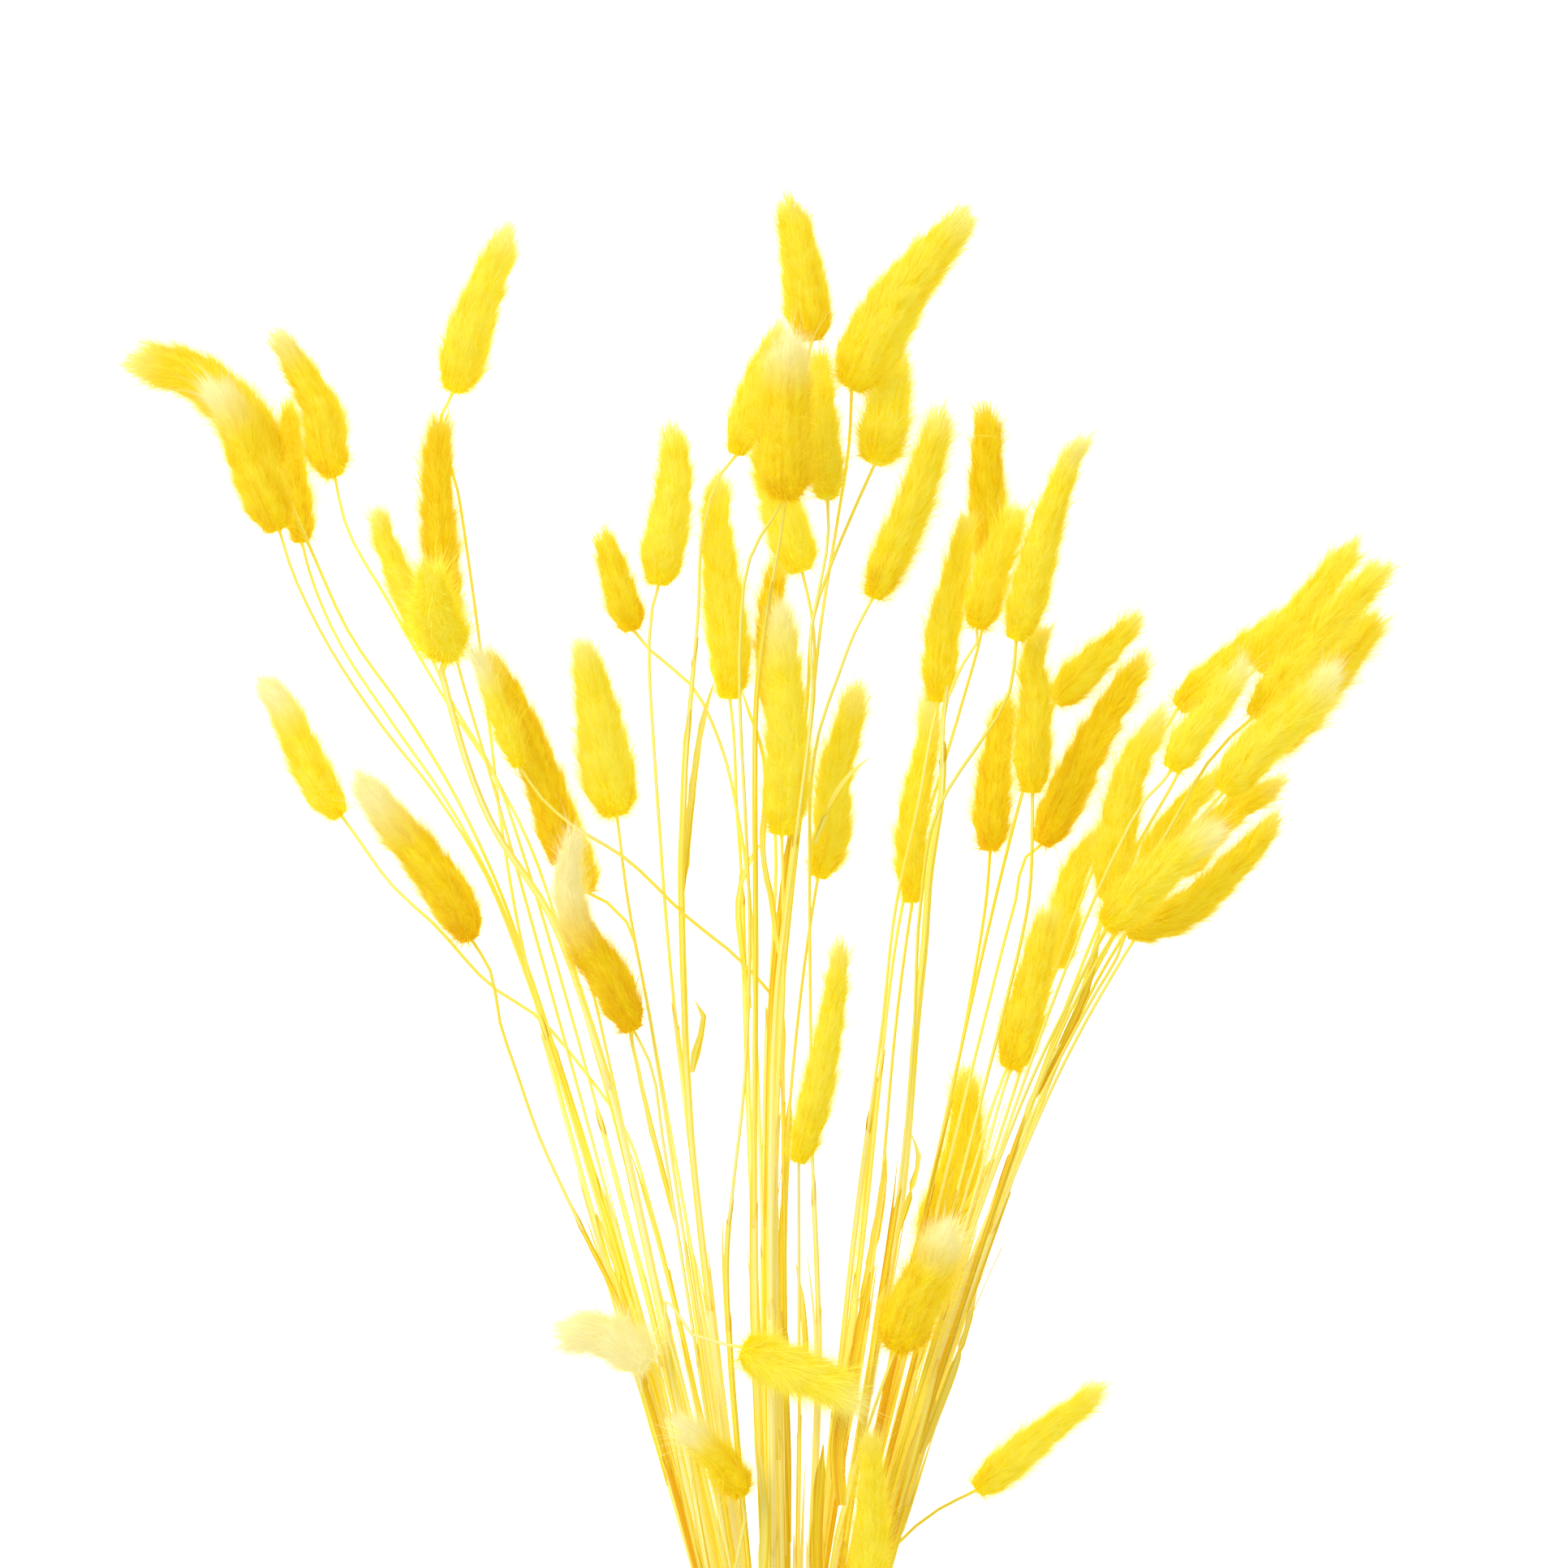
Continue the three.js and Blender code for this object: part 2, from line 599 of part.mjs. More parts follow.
// Pushes every two spans that are too close away from each other, mostly up and down.
function pushApart(pairs) {
  const nudges = new Map();
  const nudge = (chain, k, vector, weight) => {
    const key = `${chain.id} ${k}`;
    const sum = nudges.get(key) ?? new THREE.Vector3();
    nudges.set(key, sum.addScaledVector(vector, weight));
  };
  pairs.forEach(([first, second]) => {
    const a = first.chain.points[first.k];
    const b = first.chain.points[first.k + 1];
    const c = second.chain.points[second.k];
    const d = second.chain.points[second.k + 1];
    const [s, t] = nearestShares(a, b, c, d);
    const between = a.clone().lerp(b, s).sub(c.clone().lerp(d, t));
    const reachA = first.chain.reach[first.k] * (1 - s) + first.chain.reach[first.k + 1] * s;
    const reachB = second.chain.reach[second.k] * (1 - t) + second.chain.reach[second.k + 1] * t;
    const lacking = reachA + reachB + settling.gap - between.length();
    if (lacking > 0) {
      if (between.length() < tiny) {
        between.set(0, 0, first.chain.flower < second.chain.flower ? 1 : -1);
      }
      between.normalize();
      const way = new THREE.Vector3(between.x * settling.sideways, between.y * settling.sideways, between.z);
      if (Math.abs(way.z) < settling.leastUp) {
        way.z = between.z < 0 ? -settling.leastUp : settling.leastUp;
      }
      way.normalize();
      const far = Math.min(lacking / way.dot(between), settling.stride * 2) / 2;
      nudge(first.chain, first.k, way, far * (1 - s));
      nudge(first.chain, first.k + 1, way, far * s);
      nudge(second.chain, second.k, way, -far * (1 - t));
      nudge(second.chain, second.k + 1, way, -far * t);
    }
  });
  return nudges;
}

// A point that rises or sinks stays on its line of sight from above.
function slide(point, move) {
  const share = move.z / (eye.height - point.z);
  point.x += move.x - (point.x - eye.x) * share;
  point.y += move.y - (point.y - eye.y) * share;
  point.z += move.z;
}

// Stems give way smoothly, heads move as one piece, and nothing sinks into the surface.
function settle(layouts) {
  const chains = layouts.flatMap((layout) => layout.chains);
  chains.forEach((chain, id) => {
    chain.id = id;
    chain.start = chain.points.map((point) => point.clone());
  });
  let pairs = [];
  for (let pass = 0; pass < settling.passes; pass += 1) {
    if (pass % settling.listEvery === 0) {
      pairs = nearSpans(chains);
    }
    const quiet = pass >= settling.passes - settling.quietPasses;
    const calm = quiet ? settling.quietCalm : settling.calm;
    const nudges = pushApart(pairs);
    chains.forEach((chain) => {
      const headMove = new THREE.Vector3();
      let contacts = 0;
      for (let k = chain.firstFree; k < chain.points.length; k += 1) {
        const move = nudges.get(`${chain.id} ${k}`);
        if (move && k < chain.headFrom) {
          slide(chain.points[k], move.clampLength(0, settling.stride));
        } else if (move) {
          headMove.add(move);
          contacts += 1;
        }
      }
      const pressedBelow = (k) => chain.reach[k] - restDepth - chain.points[k].z;
      if (Number.isFinite(chain.headFrom)) {
        headMove.multiplyScalar(1 / Math.max(1, contacts)).clampLength(0, settling.stride);
        let sunk = 0;
        for (let k = chain.headFrom; k < chain.points.length; k += 1) {
          sunk = Math.max(sunk, pressedBelow(k) - headMove.z);
        }
        headMove.z += sunk;
        for (let k = chain.headFrom; k < chain.points.length; k += 1) {
          slide(chain.points[k], headMove);
        }
      }
      const drift = chain.points.map((point, k) => point.clone().sub(chain.start[k]));
      const lastStem = Math.min(chain.headFrom, chain.points.length - 1);
      for (let k = chain.firstFree; k < lastStem; k += 1) {
        const before = k > 0 ? drift[k - 1] : drift[k];
        const smooth = before.clone().add(drift[k + 1]).multiplyScalar(0.5);
        chain.points[k].addScaledVector(smooth.sub(drift[k]), calm);
        chain.points[k].z = Math.max(chain.points[k].z, chain.reach[k] + floorGap);
      }
    });
    layouts.forEach(({ chains: [main, ...blades] }) => {
      blades.forEach((blade) => {
        const shift = main.points[blade.rootAt].clone().sub(blade.points[0]);
        blade.points[0].add(shift);
        blade.points.forEach((point, k) => {
          if (k > 0) {
            point.addScaledVector(shift, 0.9);
            point.z = Math.max(point.z, blade.reach[k] + floorGap);
          }
        });
      });
    });
  }
}

// Steady frames along a line of points, so that rings of points round it do not twist.
function framesAlong(points) {
  const frames = [];
  let side = new THREE.Vector3(0, 0, 1);
  points.forEach((point, k) => {
    const before = points[Math.max(0, k - 1)];
    const after = points[Math.min(points.length - 1, k + 1)];
    const ahead = after.clone().sub(before).normalize();
    side = side.clone().addScaledVector(ahead, -side.dot(ahead)).normalize();
    frames.push({ ahead, side, other: ahead.clone().cross(side) });
  });
  return frames;
}

function ringPoint(centre, frame, angle, radius) {
  return centre
    .clone()
    .addScaledVector(frame.side, Math.cos(angle) * radius)
    .addScaledVector(frame.other, Math.sin(angle) * radius);
}

// Collects points and faces of one closed surface.
class Surface {
  constructor() {
    this.positions = [];
    this.faces = [];
  }

  point(vector) {
    this.positions.push(vector.x, vector.y, Math.max(0, vector.z));
    return this.positions.length / 3 - 1;
  }

  face(a, b, c) {
    this.faces.push(a, b, c);
  }

  geometry() {
    const geometry = new THREE.BufferGeometry();
    geometry.setAttribute('position', new THREE.Float32BufferAttribute(this.positions, 3));
    geometry.setIndex(this.faces);
    geometry.computeVertexNormals();
    return geometry;
  }
}

// A band of faces between two rings of three; one side may be left open for a leaf.
function stemBand(surface, lower, upper, openSide) {
  for (let k = 0; k < 3; k += 1) {
    const next = (k + 1) % 3;
    if (k !== openSide) {
      surface.face(lower[k], lower[next], upper[k]);
      surface.face(lower[next], upper[next], upper[k]);
    }
  }
}

// The blade grows out of the open side of the stem and narrows to a point.
function addBlade(surface, blade, points, hole, outward) {
  const centre = points[0].clone().addScaledVector(outward, leaf.rootOut);
  const line = [centre, ...points.slice(1)];
  const fine = new THREE.CatmullRomCurve3(line, false, 'centripetal');
  const steps = Math.max(4, Math.round(fine.getLength() / leaf.step));
  const middles = Array.from({ length: steps + 1 }, (unused, k) => fine.getPointAt(k / steps));
  const [a, b] = hole;
  const at = (index) => new THREE.Vector3().fromArray(surface.positions, index * 3);
  let across = at(b).sub(at(a)).normalize();
  let ring = hole;
  middles.slice(0, -1).forEach((middle, k) => {
    const ahead = middles[k + 1].clone().sub(middles[Math.max(0, k - 1)]).normalize();
    across = across.clone().addScaledVector(ahead, -across.dot(ahead)).normalize();
    const turned = across.clone().applyAxisAngle(ahead, (blade.twist * k) / steps);
    const out = turned.clone().cross(ahead);
    const half = (blade.width / 2) * (k === 0 ? 0.5 : Math.cos((k / steps) * leaf.tipWidth));
    const corners = [[-1, 1], [1, 1], [1, -1], [-1, -1]].map(([over, up]) =>
      surface.point(
        middle
          .clone()
          .addScaledVector(turned, over * half)
          .addScaledVector(out, (up * leaf.thickness) / 2),
      ),
    );
    for (let side = 0; side < 4; side += 1) {
      const next = (side + 1) % 4;
      if (side < 2) {
        surface.face(ring[side], ring[next], corners[next]);
        surface.face(ring[side], corners[next], corners[side]);
      } else {
        surface.face(ring[side], ring[next], corners[side]);
        surface.face(ring[next], corners[next], corners[side]);
      }
    }
    ring = corners;
  });
  const tip = surface.point(middles[steps]);
  for (let side = 0; side < 4; side += 1) {
    surface.face(ring[side], ring[(side + 1) % 4], tip);
  }
}

// One flower as one closed surface: cut end, stem with its leaves, and the head with its tufts.
function flowerGeometry(layout) {
  const { flower, chains, radii, route, leafRoots } = layout;
  const [main, ...blades] = chains;
  const surface = new Surface();
  const stemPoints = main.points.slice(0, route.length);
  const move = main.points[route.length - 1].clone().sub(main.start[route.length - 1]);
  const curve = headCurve(flower);
  const length = curve.getLength();
  const rows = Math.max(6, Math.round(length / head.rowSpacing));
  const rowShares = Array.from({ length: rows }, (unused, row) => (row + head.firstRow) / (rows + head.afterLastRow));
  const rowMiddles = rowShares.map((share) => {
    const middle = curve.getPointAt(share);
    slide(middle, move);
    return middle;
  });
  const tip = curve.getPointAt(1);
  slide(tip, move);
  const line = [...stemPoints, ...rowMiddles, tip];
  const frames = framesAlong(line);
  const third = (Math.PI * 2) / 3;

  let ring = null;
  stemPoints.forEach((point, k) => {
    const corners = [0, 1, 2].map((corner) =>
      surface.point(ringPoint(point, frames[k], corner * third, radii[k])),
    );
    if (ring === null) {
      surface.face(corners[0], corners[2], corners[1]);
    } else {
      const number = leafRoots.indexOf(k - 1);
      let openSide = -1;
      if (number >= 0) {
        const blade = blades[number];
        const towards = blade.points[1].clone().sub(blade.points[0]).normalize();
        const facing = [0, 1, 2].map((side) =>
          ringPoint(new THREE.Vector3(), frames[k], (side + 0.5) * third, 1).dot(towards),
        );
        openSide = facing.indexOf(Math.max(...facing));
        const next = (openSide + 1) % 3;
        const hole = [ring[openSide], ring[next], corners[next], corners[openSide]];
        const outward = ringPoint(new THREE.Vector3(), frames[k], (openSide + 0.5) * third, 1);
        const rootMiddle = point.clone().add(stemPoints[k - 1]).multiplyScalar(0.5);
        const leafPoints = [rootMiddle.addScaledVector(frames[k].ahead, 1), ...blade.points.slice(1)];
        addBlade(surface, flower.leaves[number], leafPoints, hole, outward);
      }
      stemBand(surface, ring, corners, openSide);
    }
    ring = corners;
  });

  const step = (Math.PI * 2) / head.around;
  const body = flower.width / 2 - head.tuftRise;
  let row = ring;
  rowMiddles.forEach((middle, i) => {
    const frame = frames[stemPoints.length + i];
    const full = fullness(rowShares[i]);
    const points = Array.from({ length: head.around }, (unused, j) => {
      const raised = (((j - i) % 3) + 3) % 3 === 0;
      const angle = (j + i / 2) * step;
      const rise = head.tuftRise * (head.slimTuft + (1 - head.slimTuft) * full);
      const radius = body * full + head.coreMargin + (raised ? rise : 0);
      const lean = raised ? head.tuftLean * Math.min(1, head.baseLean + rowShares[i]) : 0;
      return surface.point(ringPoint(middle, frame, angle, radius).addScaledVector(frame.ahead, lean));
    });
    if (i === 0) {
      for (let k = 0; k < 3; k += 1) {
        const low = row[k];
        const lowNext = row[(k + 1) % 3];
        const high = [0, 1, 2, 3].map((n) => points[(k * 3 + n) % head.around]);
        surface.face(low, high[1], high[0]);
        surface.face(low, lowNext, high[1]);
        surface.face(lowNext, high[2], high[1]);
        surface.face(lowNext, high[3], high[2]);
      }
    } else {
      for (let j = 0; j < head.around; j += 1) {
        const next = (j + 1) % head.around;
        surface.face(row[j], row[next], points[j]);
        surface.face(row[next], points[next], points[j]);
      }
    }
    row = points;
  });
  const point = surface.point(tip.clone().addScaledVector(frames[line.length - 1].ahead, head.tipTuft));
  for (let j = 0; j < head.around; j += 1) {
    surface.face(row[j], row[(j + 1) % head.around], point);
  }
  return surface.geometry();
}

// The twine's outer edge across its turns, one arc a turn: how far out of the bundle, and where along it.
function twineOutline() {
  const half = twine.thickness / 2;
  const firstMiddle = -(twine.turns - 1) * half;
  const spots = [];
  for (let turn = 0; turn < twine.turns; turn += 1) {
    const turnMiddle = firstMiddle + turn * twine.thickness;
    for (let step = turn === 0 ? 0 : 1; step <= twine.arcSteps; step += 1) {
      const angle = (step / twine.arcSteps - 0.5) * Math.PI;
      const out = Math.max(twine.valley, Math.cos(angle)) * twine.thickness;
      spots.push({ out, along: turnMiddle + Math.sin(angle) * half });
    }
  }
  return spots;
}

// The twine tie: a ring of turns side by side, flat where it lies on the surface, with a low knot on top.
function tieGeometry() {
  const halfWidth = (twine.turns * twine.thickness) / 2;
  const outline = [{ out: 0, along: halfWidth }, { out: 0, along: -halfWidth }, ...twineOutline()];
  const surface = new Surface();
  const rings = Array.from({ length: twine.sides }, (unused, k) => {
    const angle = (k / twine.sides) * Math.PI * 2;
    const knot = twine.knotRise * Math.exp(-(((angle - Math.PI / 2) / twine.knotSpread) ** 2));
    return outline.map(({ out, along }) => {
      const radius = bundleRadius + out + (out > 0 ? knot : 0);
      return surface.point(
        new THREE.Vector3(Math.cos(angle) * radius, along, neckHeight + Math.sin(angle) * radius),
      );
    });
  });
  rings.forEach((ring, k) => {
    const nextRing = rings[(k + 1) % twine.sides];
    ring.forEach((corner, n) => {
      const m = (n + 1) % ring.length;
      surface.face(corner, ring[m], nextRing[n]);
      surface.face(nextRing[n], ring[m], nextRing[m]);
    });
  });
  return surface.geometry();
}

function flowerMaterial(index) {
  const shade = new THREE.Color(colours.fur).lerp(new THREE.Color(colours.furShade), ((index * 5) % 7) / 7);
  return new THREE.MeshStandardMaterial({ color: shade, roughness: 0.9, metalness: 0 });
}

const slots = chooseSlots();
const layouts = flowers.map((flower, index) => layOut(flower, slots[index], index));
settle(layouts);

const bunch = new THREE.Group();
layouts.forEach((layout, index) => {
  const mesh = new THREE.Mesh(flowerGeometry(layout), flowerMaterial(index));
  mesh.name = `bunny_tail_${String(index + 1).padStart(2, '0')}`;
  bunch.add(mesh);
});

const twineMaterial = new THREE.MeshStandardMaterial({ color: colours.twine, roughness: 0.95, metalness: 0 });
const tie = new THREE.Mesh(tieGeometry(), twineMaterial);
tie.name = 'twine_tie';
bunch.add(tie);

// The origin is under the middle of the whole bunch, on the surface that it lies on.
const extent = new THREE.Box3().setFromObject(bunch, true);
const middle = extent.getCenter(new THREE.Vector3());
bunch.position.set(-middle.x, -middle.y, -extent.min.z);
bunch.updateMatrixWorld(true);

export default bunch;
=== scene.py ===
# %% [markdown]
# A bunch of dried bunny tail grass, dyed yellow, that lies on a white table and is seen from straight
# above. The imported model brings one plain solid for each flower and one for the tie. The cells below
# replace them with finer pieces that keep their place and form: ribbed straw stems, leaf blades, furry
# heads and spun twine.

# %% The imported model
import itertools
import math

import bmesh
import bpy
import numpy as np
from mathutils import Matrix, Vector


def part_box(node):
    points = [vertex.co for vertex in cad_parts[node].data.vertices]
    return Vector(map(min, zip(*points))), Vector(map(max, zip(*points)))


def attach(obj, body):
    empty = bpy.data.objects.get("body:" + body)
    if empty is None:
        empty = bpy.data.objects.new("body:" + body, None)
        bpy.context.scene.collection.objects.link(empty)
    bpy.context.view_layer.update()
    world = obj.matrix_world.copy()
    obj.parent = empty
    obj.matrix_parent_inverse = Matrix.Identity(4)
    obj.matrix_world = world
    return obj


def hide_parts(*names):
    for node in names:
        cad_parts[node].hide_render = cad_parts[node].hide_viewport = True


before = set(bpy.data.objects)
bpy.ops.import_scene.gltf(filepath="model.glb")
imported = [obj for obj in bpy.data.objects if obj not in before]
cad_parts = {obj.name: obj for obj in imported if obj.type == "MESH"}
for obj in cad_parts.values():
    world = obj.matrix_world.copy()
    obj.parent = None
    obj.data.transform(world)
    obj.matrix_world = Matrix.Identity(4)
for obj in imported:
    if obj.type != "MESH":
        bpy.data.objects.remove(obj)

MM = 0.001
flowers = sorted(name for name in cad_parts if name.startswith("bunny_tail_"))
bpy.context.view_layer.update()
print("flowers:", len(flowers))

# %% [markdown]
# The camera looks straight down. Its place and its view are sizes in the same millimetres as the bunch:
# they are counted from the middle of the tie, because that is where the stems meet.

# %% The camera
scene = bpy.context.scene
tie_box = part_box("twine_tie")
tie_middle = [(tie_box[0][axis] + tie_box[1][axis]) / 2 for axis in range(2)]
EYE_FROM_TIE = (-1.5 * MM, 325.5 * MM)
EYE_HEIGHT = 1600 * MM
VIEW_WIDTH = 483 * MM
SENSOR_WIDTH = 36.0


def into_scene(name, data):
    """A new object of the scene, made of the given data."""
    thing = bpy.data.objects.new(name, data)
    scene.collection.objects.link(thing)
    return thing


camera_data = bpy.data.cameras.new("camera")
camera_data.sensor_width = SENSOR_WIDTH
camera_data.lens = SENSOR_WIDTH * EYE_HEIGHT / VIEW_WIDTH
camera = into_scene("camera", camera_data)
camera.location = (tie_middle[0] + EYE_FROM_TIE[0], tie_middle[1] + EYE_FROM_TIE[1], EYE_HEIGHT)
bpy.context.scene.camera = camera
print("camera at", [round(value, 3) for value in camera.location], "lens", round(camera_data.lens, 1))

# %% [markdown]
# The light is soft and comes from all round, as in a light tent: a bright sky, a white table that gives
# back what falls on it, and one large lamp over the upper left corner that gives the heads a lit and a
# shaded side. Sunlight would be simpler, but its hard shadows would hide the thin stems. The table glows
# a little, and so do the fibres later on. Such a weak glow isn't sampled as a light, which keeps the
# render quick.

# %% The table and the light
WHITE = (1.0, 1.0, 1.0, 1.0)
SKY_STRENGTH = 0.57
TABLE_SIZE = 6.0
TABLE_HEIGHT = -0.2 * MM
TABLE_GREY = (0.85, 0.85, 0.85, 1.0)
TABLE_ROUGHNESS = 0.8
TABLE_GLOW = 0.9
LAMP_SIZE = 0.9
LAMP_POWER = 13.0
LAMP_PLACE = (-0.75, 0.75, 1.35)

scene.view_settings.view_transform = "Standard"
scene.view_settings.look = "None"
sky = bpy.data.worlds.new("sky")
scene.world = sky
sky.use_nodes = True
sky.node_tree.nodes["Background"].inputs["Color"].default_value = WHITE
sky.node_tree.nodes["Background"].inputs["Strength"].default_value = SKY_STRENGTH


def finish_named(name, constants):
    """A new finish with its tree and its shader, and with the constants on the shader's own sockets."""
    finish = bpy.data.materials.new(name)
    finish.use_nodes = True
    finish.cycles.emission_sampling = "NONE"
    shader = finish.node_tree.nodes["Principled BSDF"]
    for socket, value in constants.items():
        shader.inputs[socket].default_value = value
    return finish, finish.node_tree, shader


table_finish, tree, shader = finish_named("white_table", {
    "Base Color": TABLE_GREY,
    "Roughness": TABLE_ROUGHNESS,
    "Emission Color": WHITE,
    "Emission Strength": TABLE_GLOW,
})
bpy.ops.mesh.primitive_plane_add(size=TABLE_SIZE, location=(0, 0, TABLE_HEIGHT))
table = bpy.context.object
table.name = "table"
table.data.materials.append(table_finish)

lamp_data = bpy.data.lights.new("soft_lamp", "AREA")
lamp_data.shape = "SQUARE"
lamp_data.size = LAMP_SIZE
lamp_data.energy = LAMP_POWER
lamp = into_scene("soft_lamp", lamp_data)
lamp.location = LAMP_PLACE
lamp.rotation_euler = (Vector((0, 0, 0)) - lamp.location).to_track_quat("-Z", "Y").to_euler()
print("sky", SKY_STRENGTH, "lamp", LAMP_POWER, "W")

# %% [markdown]
# Each packed flower is one closed skin: a cut end, rings of three points up the stem, rows of nine points
# round the head, and four points a step along each leaf. Walking from the cut end, ring by ring, gives
# back the middle line and the thickness of every part. The lines could be written down here a second
# time, but read in this way the finer pieces always lie just where the solid does.

# %% Reading a flower's form
MERGE_DISTANCE = 0.005 * MM


def in_order(points):
    """Points by their number, so that every run of this script adds them up alike."""
    return sorted(points, key=lambda point: point.index)


def middle_of(points):
    return sum((point.co for point in in_order(points)), Vector()) / len(points)


def next_ring(ring, seen):
    """The three points of the next stem ring, and the points beside it that belong to a leaf."""
    around = {edge.other_vert(point) for point in ring for edge in point.link_edges} - seen
    faces = {frozenset(face.verts) for point in around for face in point.link_faces}
    joined = {frozenset(edge.verts) for point in around for edge in point.link_edges}
    for three in itertools.combinations(in_order(around), 3):
        pairs = [frozenset(pair) for pair in itertools.combinations(three, 2)]
        if all(pair in joined for pair in pairs) and frozenset(three) not in faces:
            return set(three), around - set(three)
    return None, around


def steps_from(start, seen):
    """Ring after ring of points, each one edge further from the start."""
    rings = []
    ring = set(start)
    while ring:
        rings.append(in_order(ring))
        seen |= ring
        ring = {edge.other_vert(point) for point in ring for edge in point.link_edges} - seen
    return rings


def read_flower(name):
    """The middle lines and sizes of a flower's stem, head and leaves, in metres."""
    skin = bmesh.new()
    skin.from_mesh(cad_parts[name].data)
    bmesh.ops.remove_doubles(skin, verts=skin.verts, dist=MERGE_DISTANCE)
    skin.verts.index_update()
    cut_end = min(skin.faces, key=lambda face: face.calc_center_median().y)
    ring = set(cut_end.verts)
    seen = set(ring)
    stem = []
    leaves = []
    while ring is not None:
        centre = middle_of(ring)
        stem.append((centre, sum((point.co - centre).length for point in in_order(ring)) / len(ring)))
        ring, beside = next_ring(ring, seen)
        if ring is not None:
            seen |= ring
            if beside:
                blade = steps_from(beside, seen)
                leaves.append([[point.co.copy() for point in row] for row in blade])
    head = []
    for row in steps_from(beside, seen):
        centre = middle_of(row)
        head.append((centre, sorted((point.co - centre).length for point in row)))
    skin.free()
    return {"stem": stem, "head": head, "leaves": leaves}


forms = {name: read_flower(name) for name in flowers}
print("head rows:", sorted({len(form["head"]) for form in forms.values()}))
print("leaves:", sum(len(form["leaves"]) for form in forms.values()))

# %% [markdown]
# A middle line that comes as a few points is made smooth before a skin is laid round it. A curve object
# could do that, but its twist is hard to steer. Along the line that is worked out here every ring keeps
# its upper side up, so stems, heads and leaves lie flat and never twist.

# %% Smooth lines and their frames
def smooth_line(points, step):
    """Points about a step apart on a smooth curve through the given ones, and their place among those."""
    points = np.array([tuple(point) for point in points])
    spans = np.linalg.norm(np.diff(points, axis=0), axis=1)
    slopes = np.diff(points, axis=0) / spans[:, None]
    tangents = np.empty_like(points)
    tangents[0], tangents[-1] = slopes[0], slopes[-1]
    weights = (spans[:-1] / (spans[:-1] + spans[1:]))[:, None]
    tangents[1:-1] = slopes[:-1] * (1 - weights) + slopes[1:] * weights
    line, places = [points[0]], [0.0]
    for index, span in enumerate(spans):
        count = max(1, round(span / step))
        for part in range(1, count + 1):
            t = part / count
            near = 2 * t**3 - 3 * t**2 + 1
            near_slope = t**3 - 2 * t**2 + t
            far = -2 * t**3 + 3 * t**2
            far_slope = t**3 - t**2
            line.append(
                near * points[index]
                + near_slope * span * tangents[index]
                + far * points[index + 1]
                + far_slope * span * tangents[index + 1]
            )
            places.append(index + t)
    return np.array(line), np.array(places)


def frames_along(line, upward=(0.0, 0.0, 1.0)):
    """Ahead, up and across at each point of a line."""
    ahead = np.gradient(line, axis=0)
    ahead /= np.linalg.norm(ahead, axis=1)[:, None]
    up = np.array(upward) - ahead * (ahead @ np.array(upward))[:, None]
    up /= np.linalg.norm(up, axis=1)[:, None]
    return ahead, up, np.cross(up, ahead)


def lengths_along(line):
    return np.concatenate([[0.0], np.cumsum(np.linalg.norm(np.diff(line, axis=0), axis=1))])


print("smooth lines ready")

# %% [markdown]
# One flower is gathered in a skin: lists of points and faces, with the values that its finishes read at each
# point. Rings of equal size are joined by bands of four-cornered faces, and a fan closes each end.

# %% Gathering a skin
VALUES = ("along", "tone", "pale", "dye", "straw", "worn", "fur_length", "fur_lift", "fur_density")
VECTORS = ("grain", "flow")
STRAW, FUR = 0, 1
LOWEST = 0.05 * MM


class Skin:
    """The points, faces and values of one flower. A value that is given at the start holds everywhere."""

    def __init__(self, **everywhere):
        self.points = []
        self.faces = []
        self.finishes = []
        self.everywhere = everywhere
        self.values = {name: [] for name in VALUES + VECTORS}

    def ring(self, points, **values):
        """Adds points, with one value or a list of values for each name, and gives back their numbers."""
        first = len(self.points)
        self.points.extend(points)
        for name in VALUES + VECTORS:
            value = values.get(name, self.everywhere.get(name, (0.0, 0.0, 0.0) if name in VECTORS else 0.0))
            several = isinstance(value, (list, np.ndarray))
            self.values[name].extend(value if several else [value] * len(points))
        return list(range(first, first + len(points)))

    def face(self, corners, finish):
        self.faces.append(tuple(corners))
        self.finishes.append(finish)

    def band(self, low, high, finish):
        for index in range(len(low)):
            following = (index + 1) % len(low)
            self.face((low[index], low[following], high[following], high[index]), finish)

    def fan(self, ring, tip, finish, turned=False):
        for index in range(len(ring)):
            following = (index + 1) % len(ring)
            pair = (ring[following], ring[index]) if turned else (ring[index], ring[following])
            self.face((*pair, tip), finish)

    def mesh(self, name):
        mesh = bpy.data.meshes.new(name)
        points = np.array([tuple(point) for point in self.points])
        points[:, 2] = np.maximum(points[:, 2], LOWEST)
        mesh.from_pydata(points.tolist(), [], self.faces)
        mesh.polygons.foreach_set("material_index", self.finishes)
        for value in VALUES:
            mesh.attributes.new(value, "FLOAT", "POINT").data.foreach_set("value", self.values[value])
        for value in VECTORS:
            flat = np.array([tuple(entry) for entry in self.values[value]], dtype=np.float32).ravel()
            mesh.attributes.new(value, "FLOAT_VECTOR", "POINT").data.foreach_set("vector", flat)
        shell = bmesh.new()
        shell.from_mesh(mesh)
        bmesh.ops.recalc_face_normals(shell, faces=shell.faces)
        shell.to_mesh(mesh)
        shell.free()
        mesh.update()
        return mesh


print("values at each point:", ", ".join(VALUES + VECTORS))

# %% [markdown]
# A dry stem is not one even rod. Long leaf sheaths wrap it, one above the other, each a little wider than
# the stem inside it and torn off in a slant at its upper edge. A bevelled curve would be quick to make,
# but it can't step in or fray. So the stem is a tube of rings whose radius steps in where a sheath ends,
# and the rim there runs out in uneven tongues. Drying leaves long flutes in each sheath, which the tube's
# uneven sides give, and its faces stay flat so that every flute catches the light in its own way.

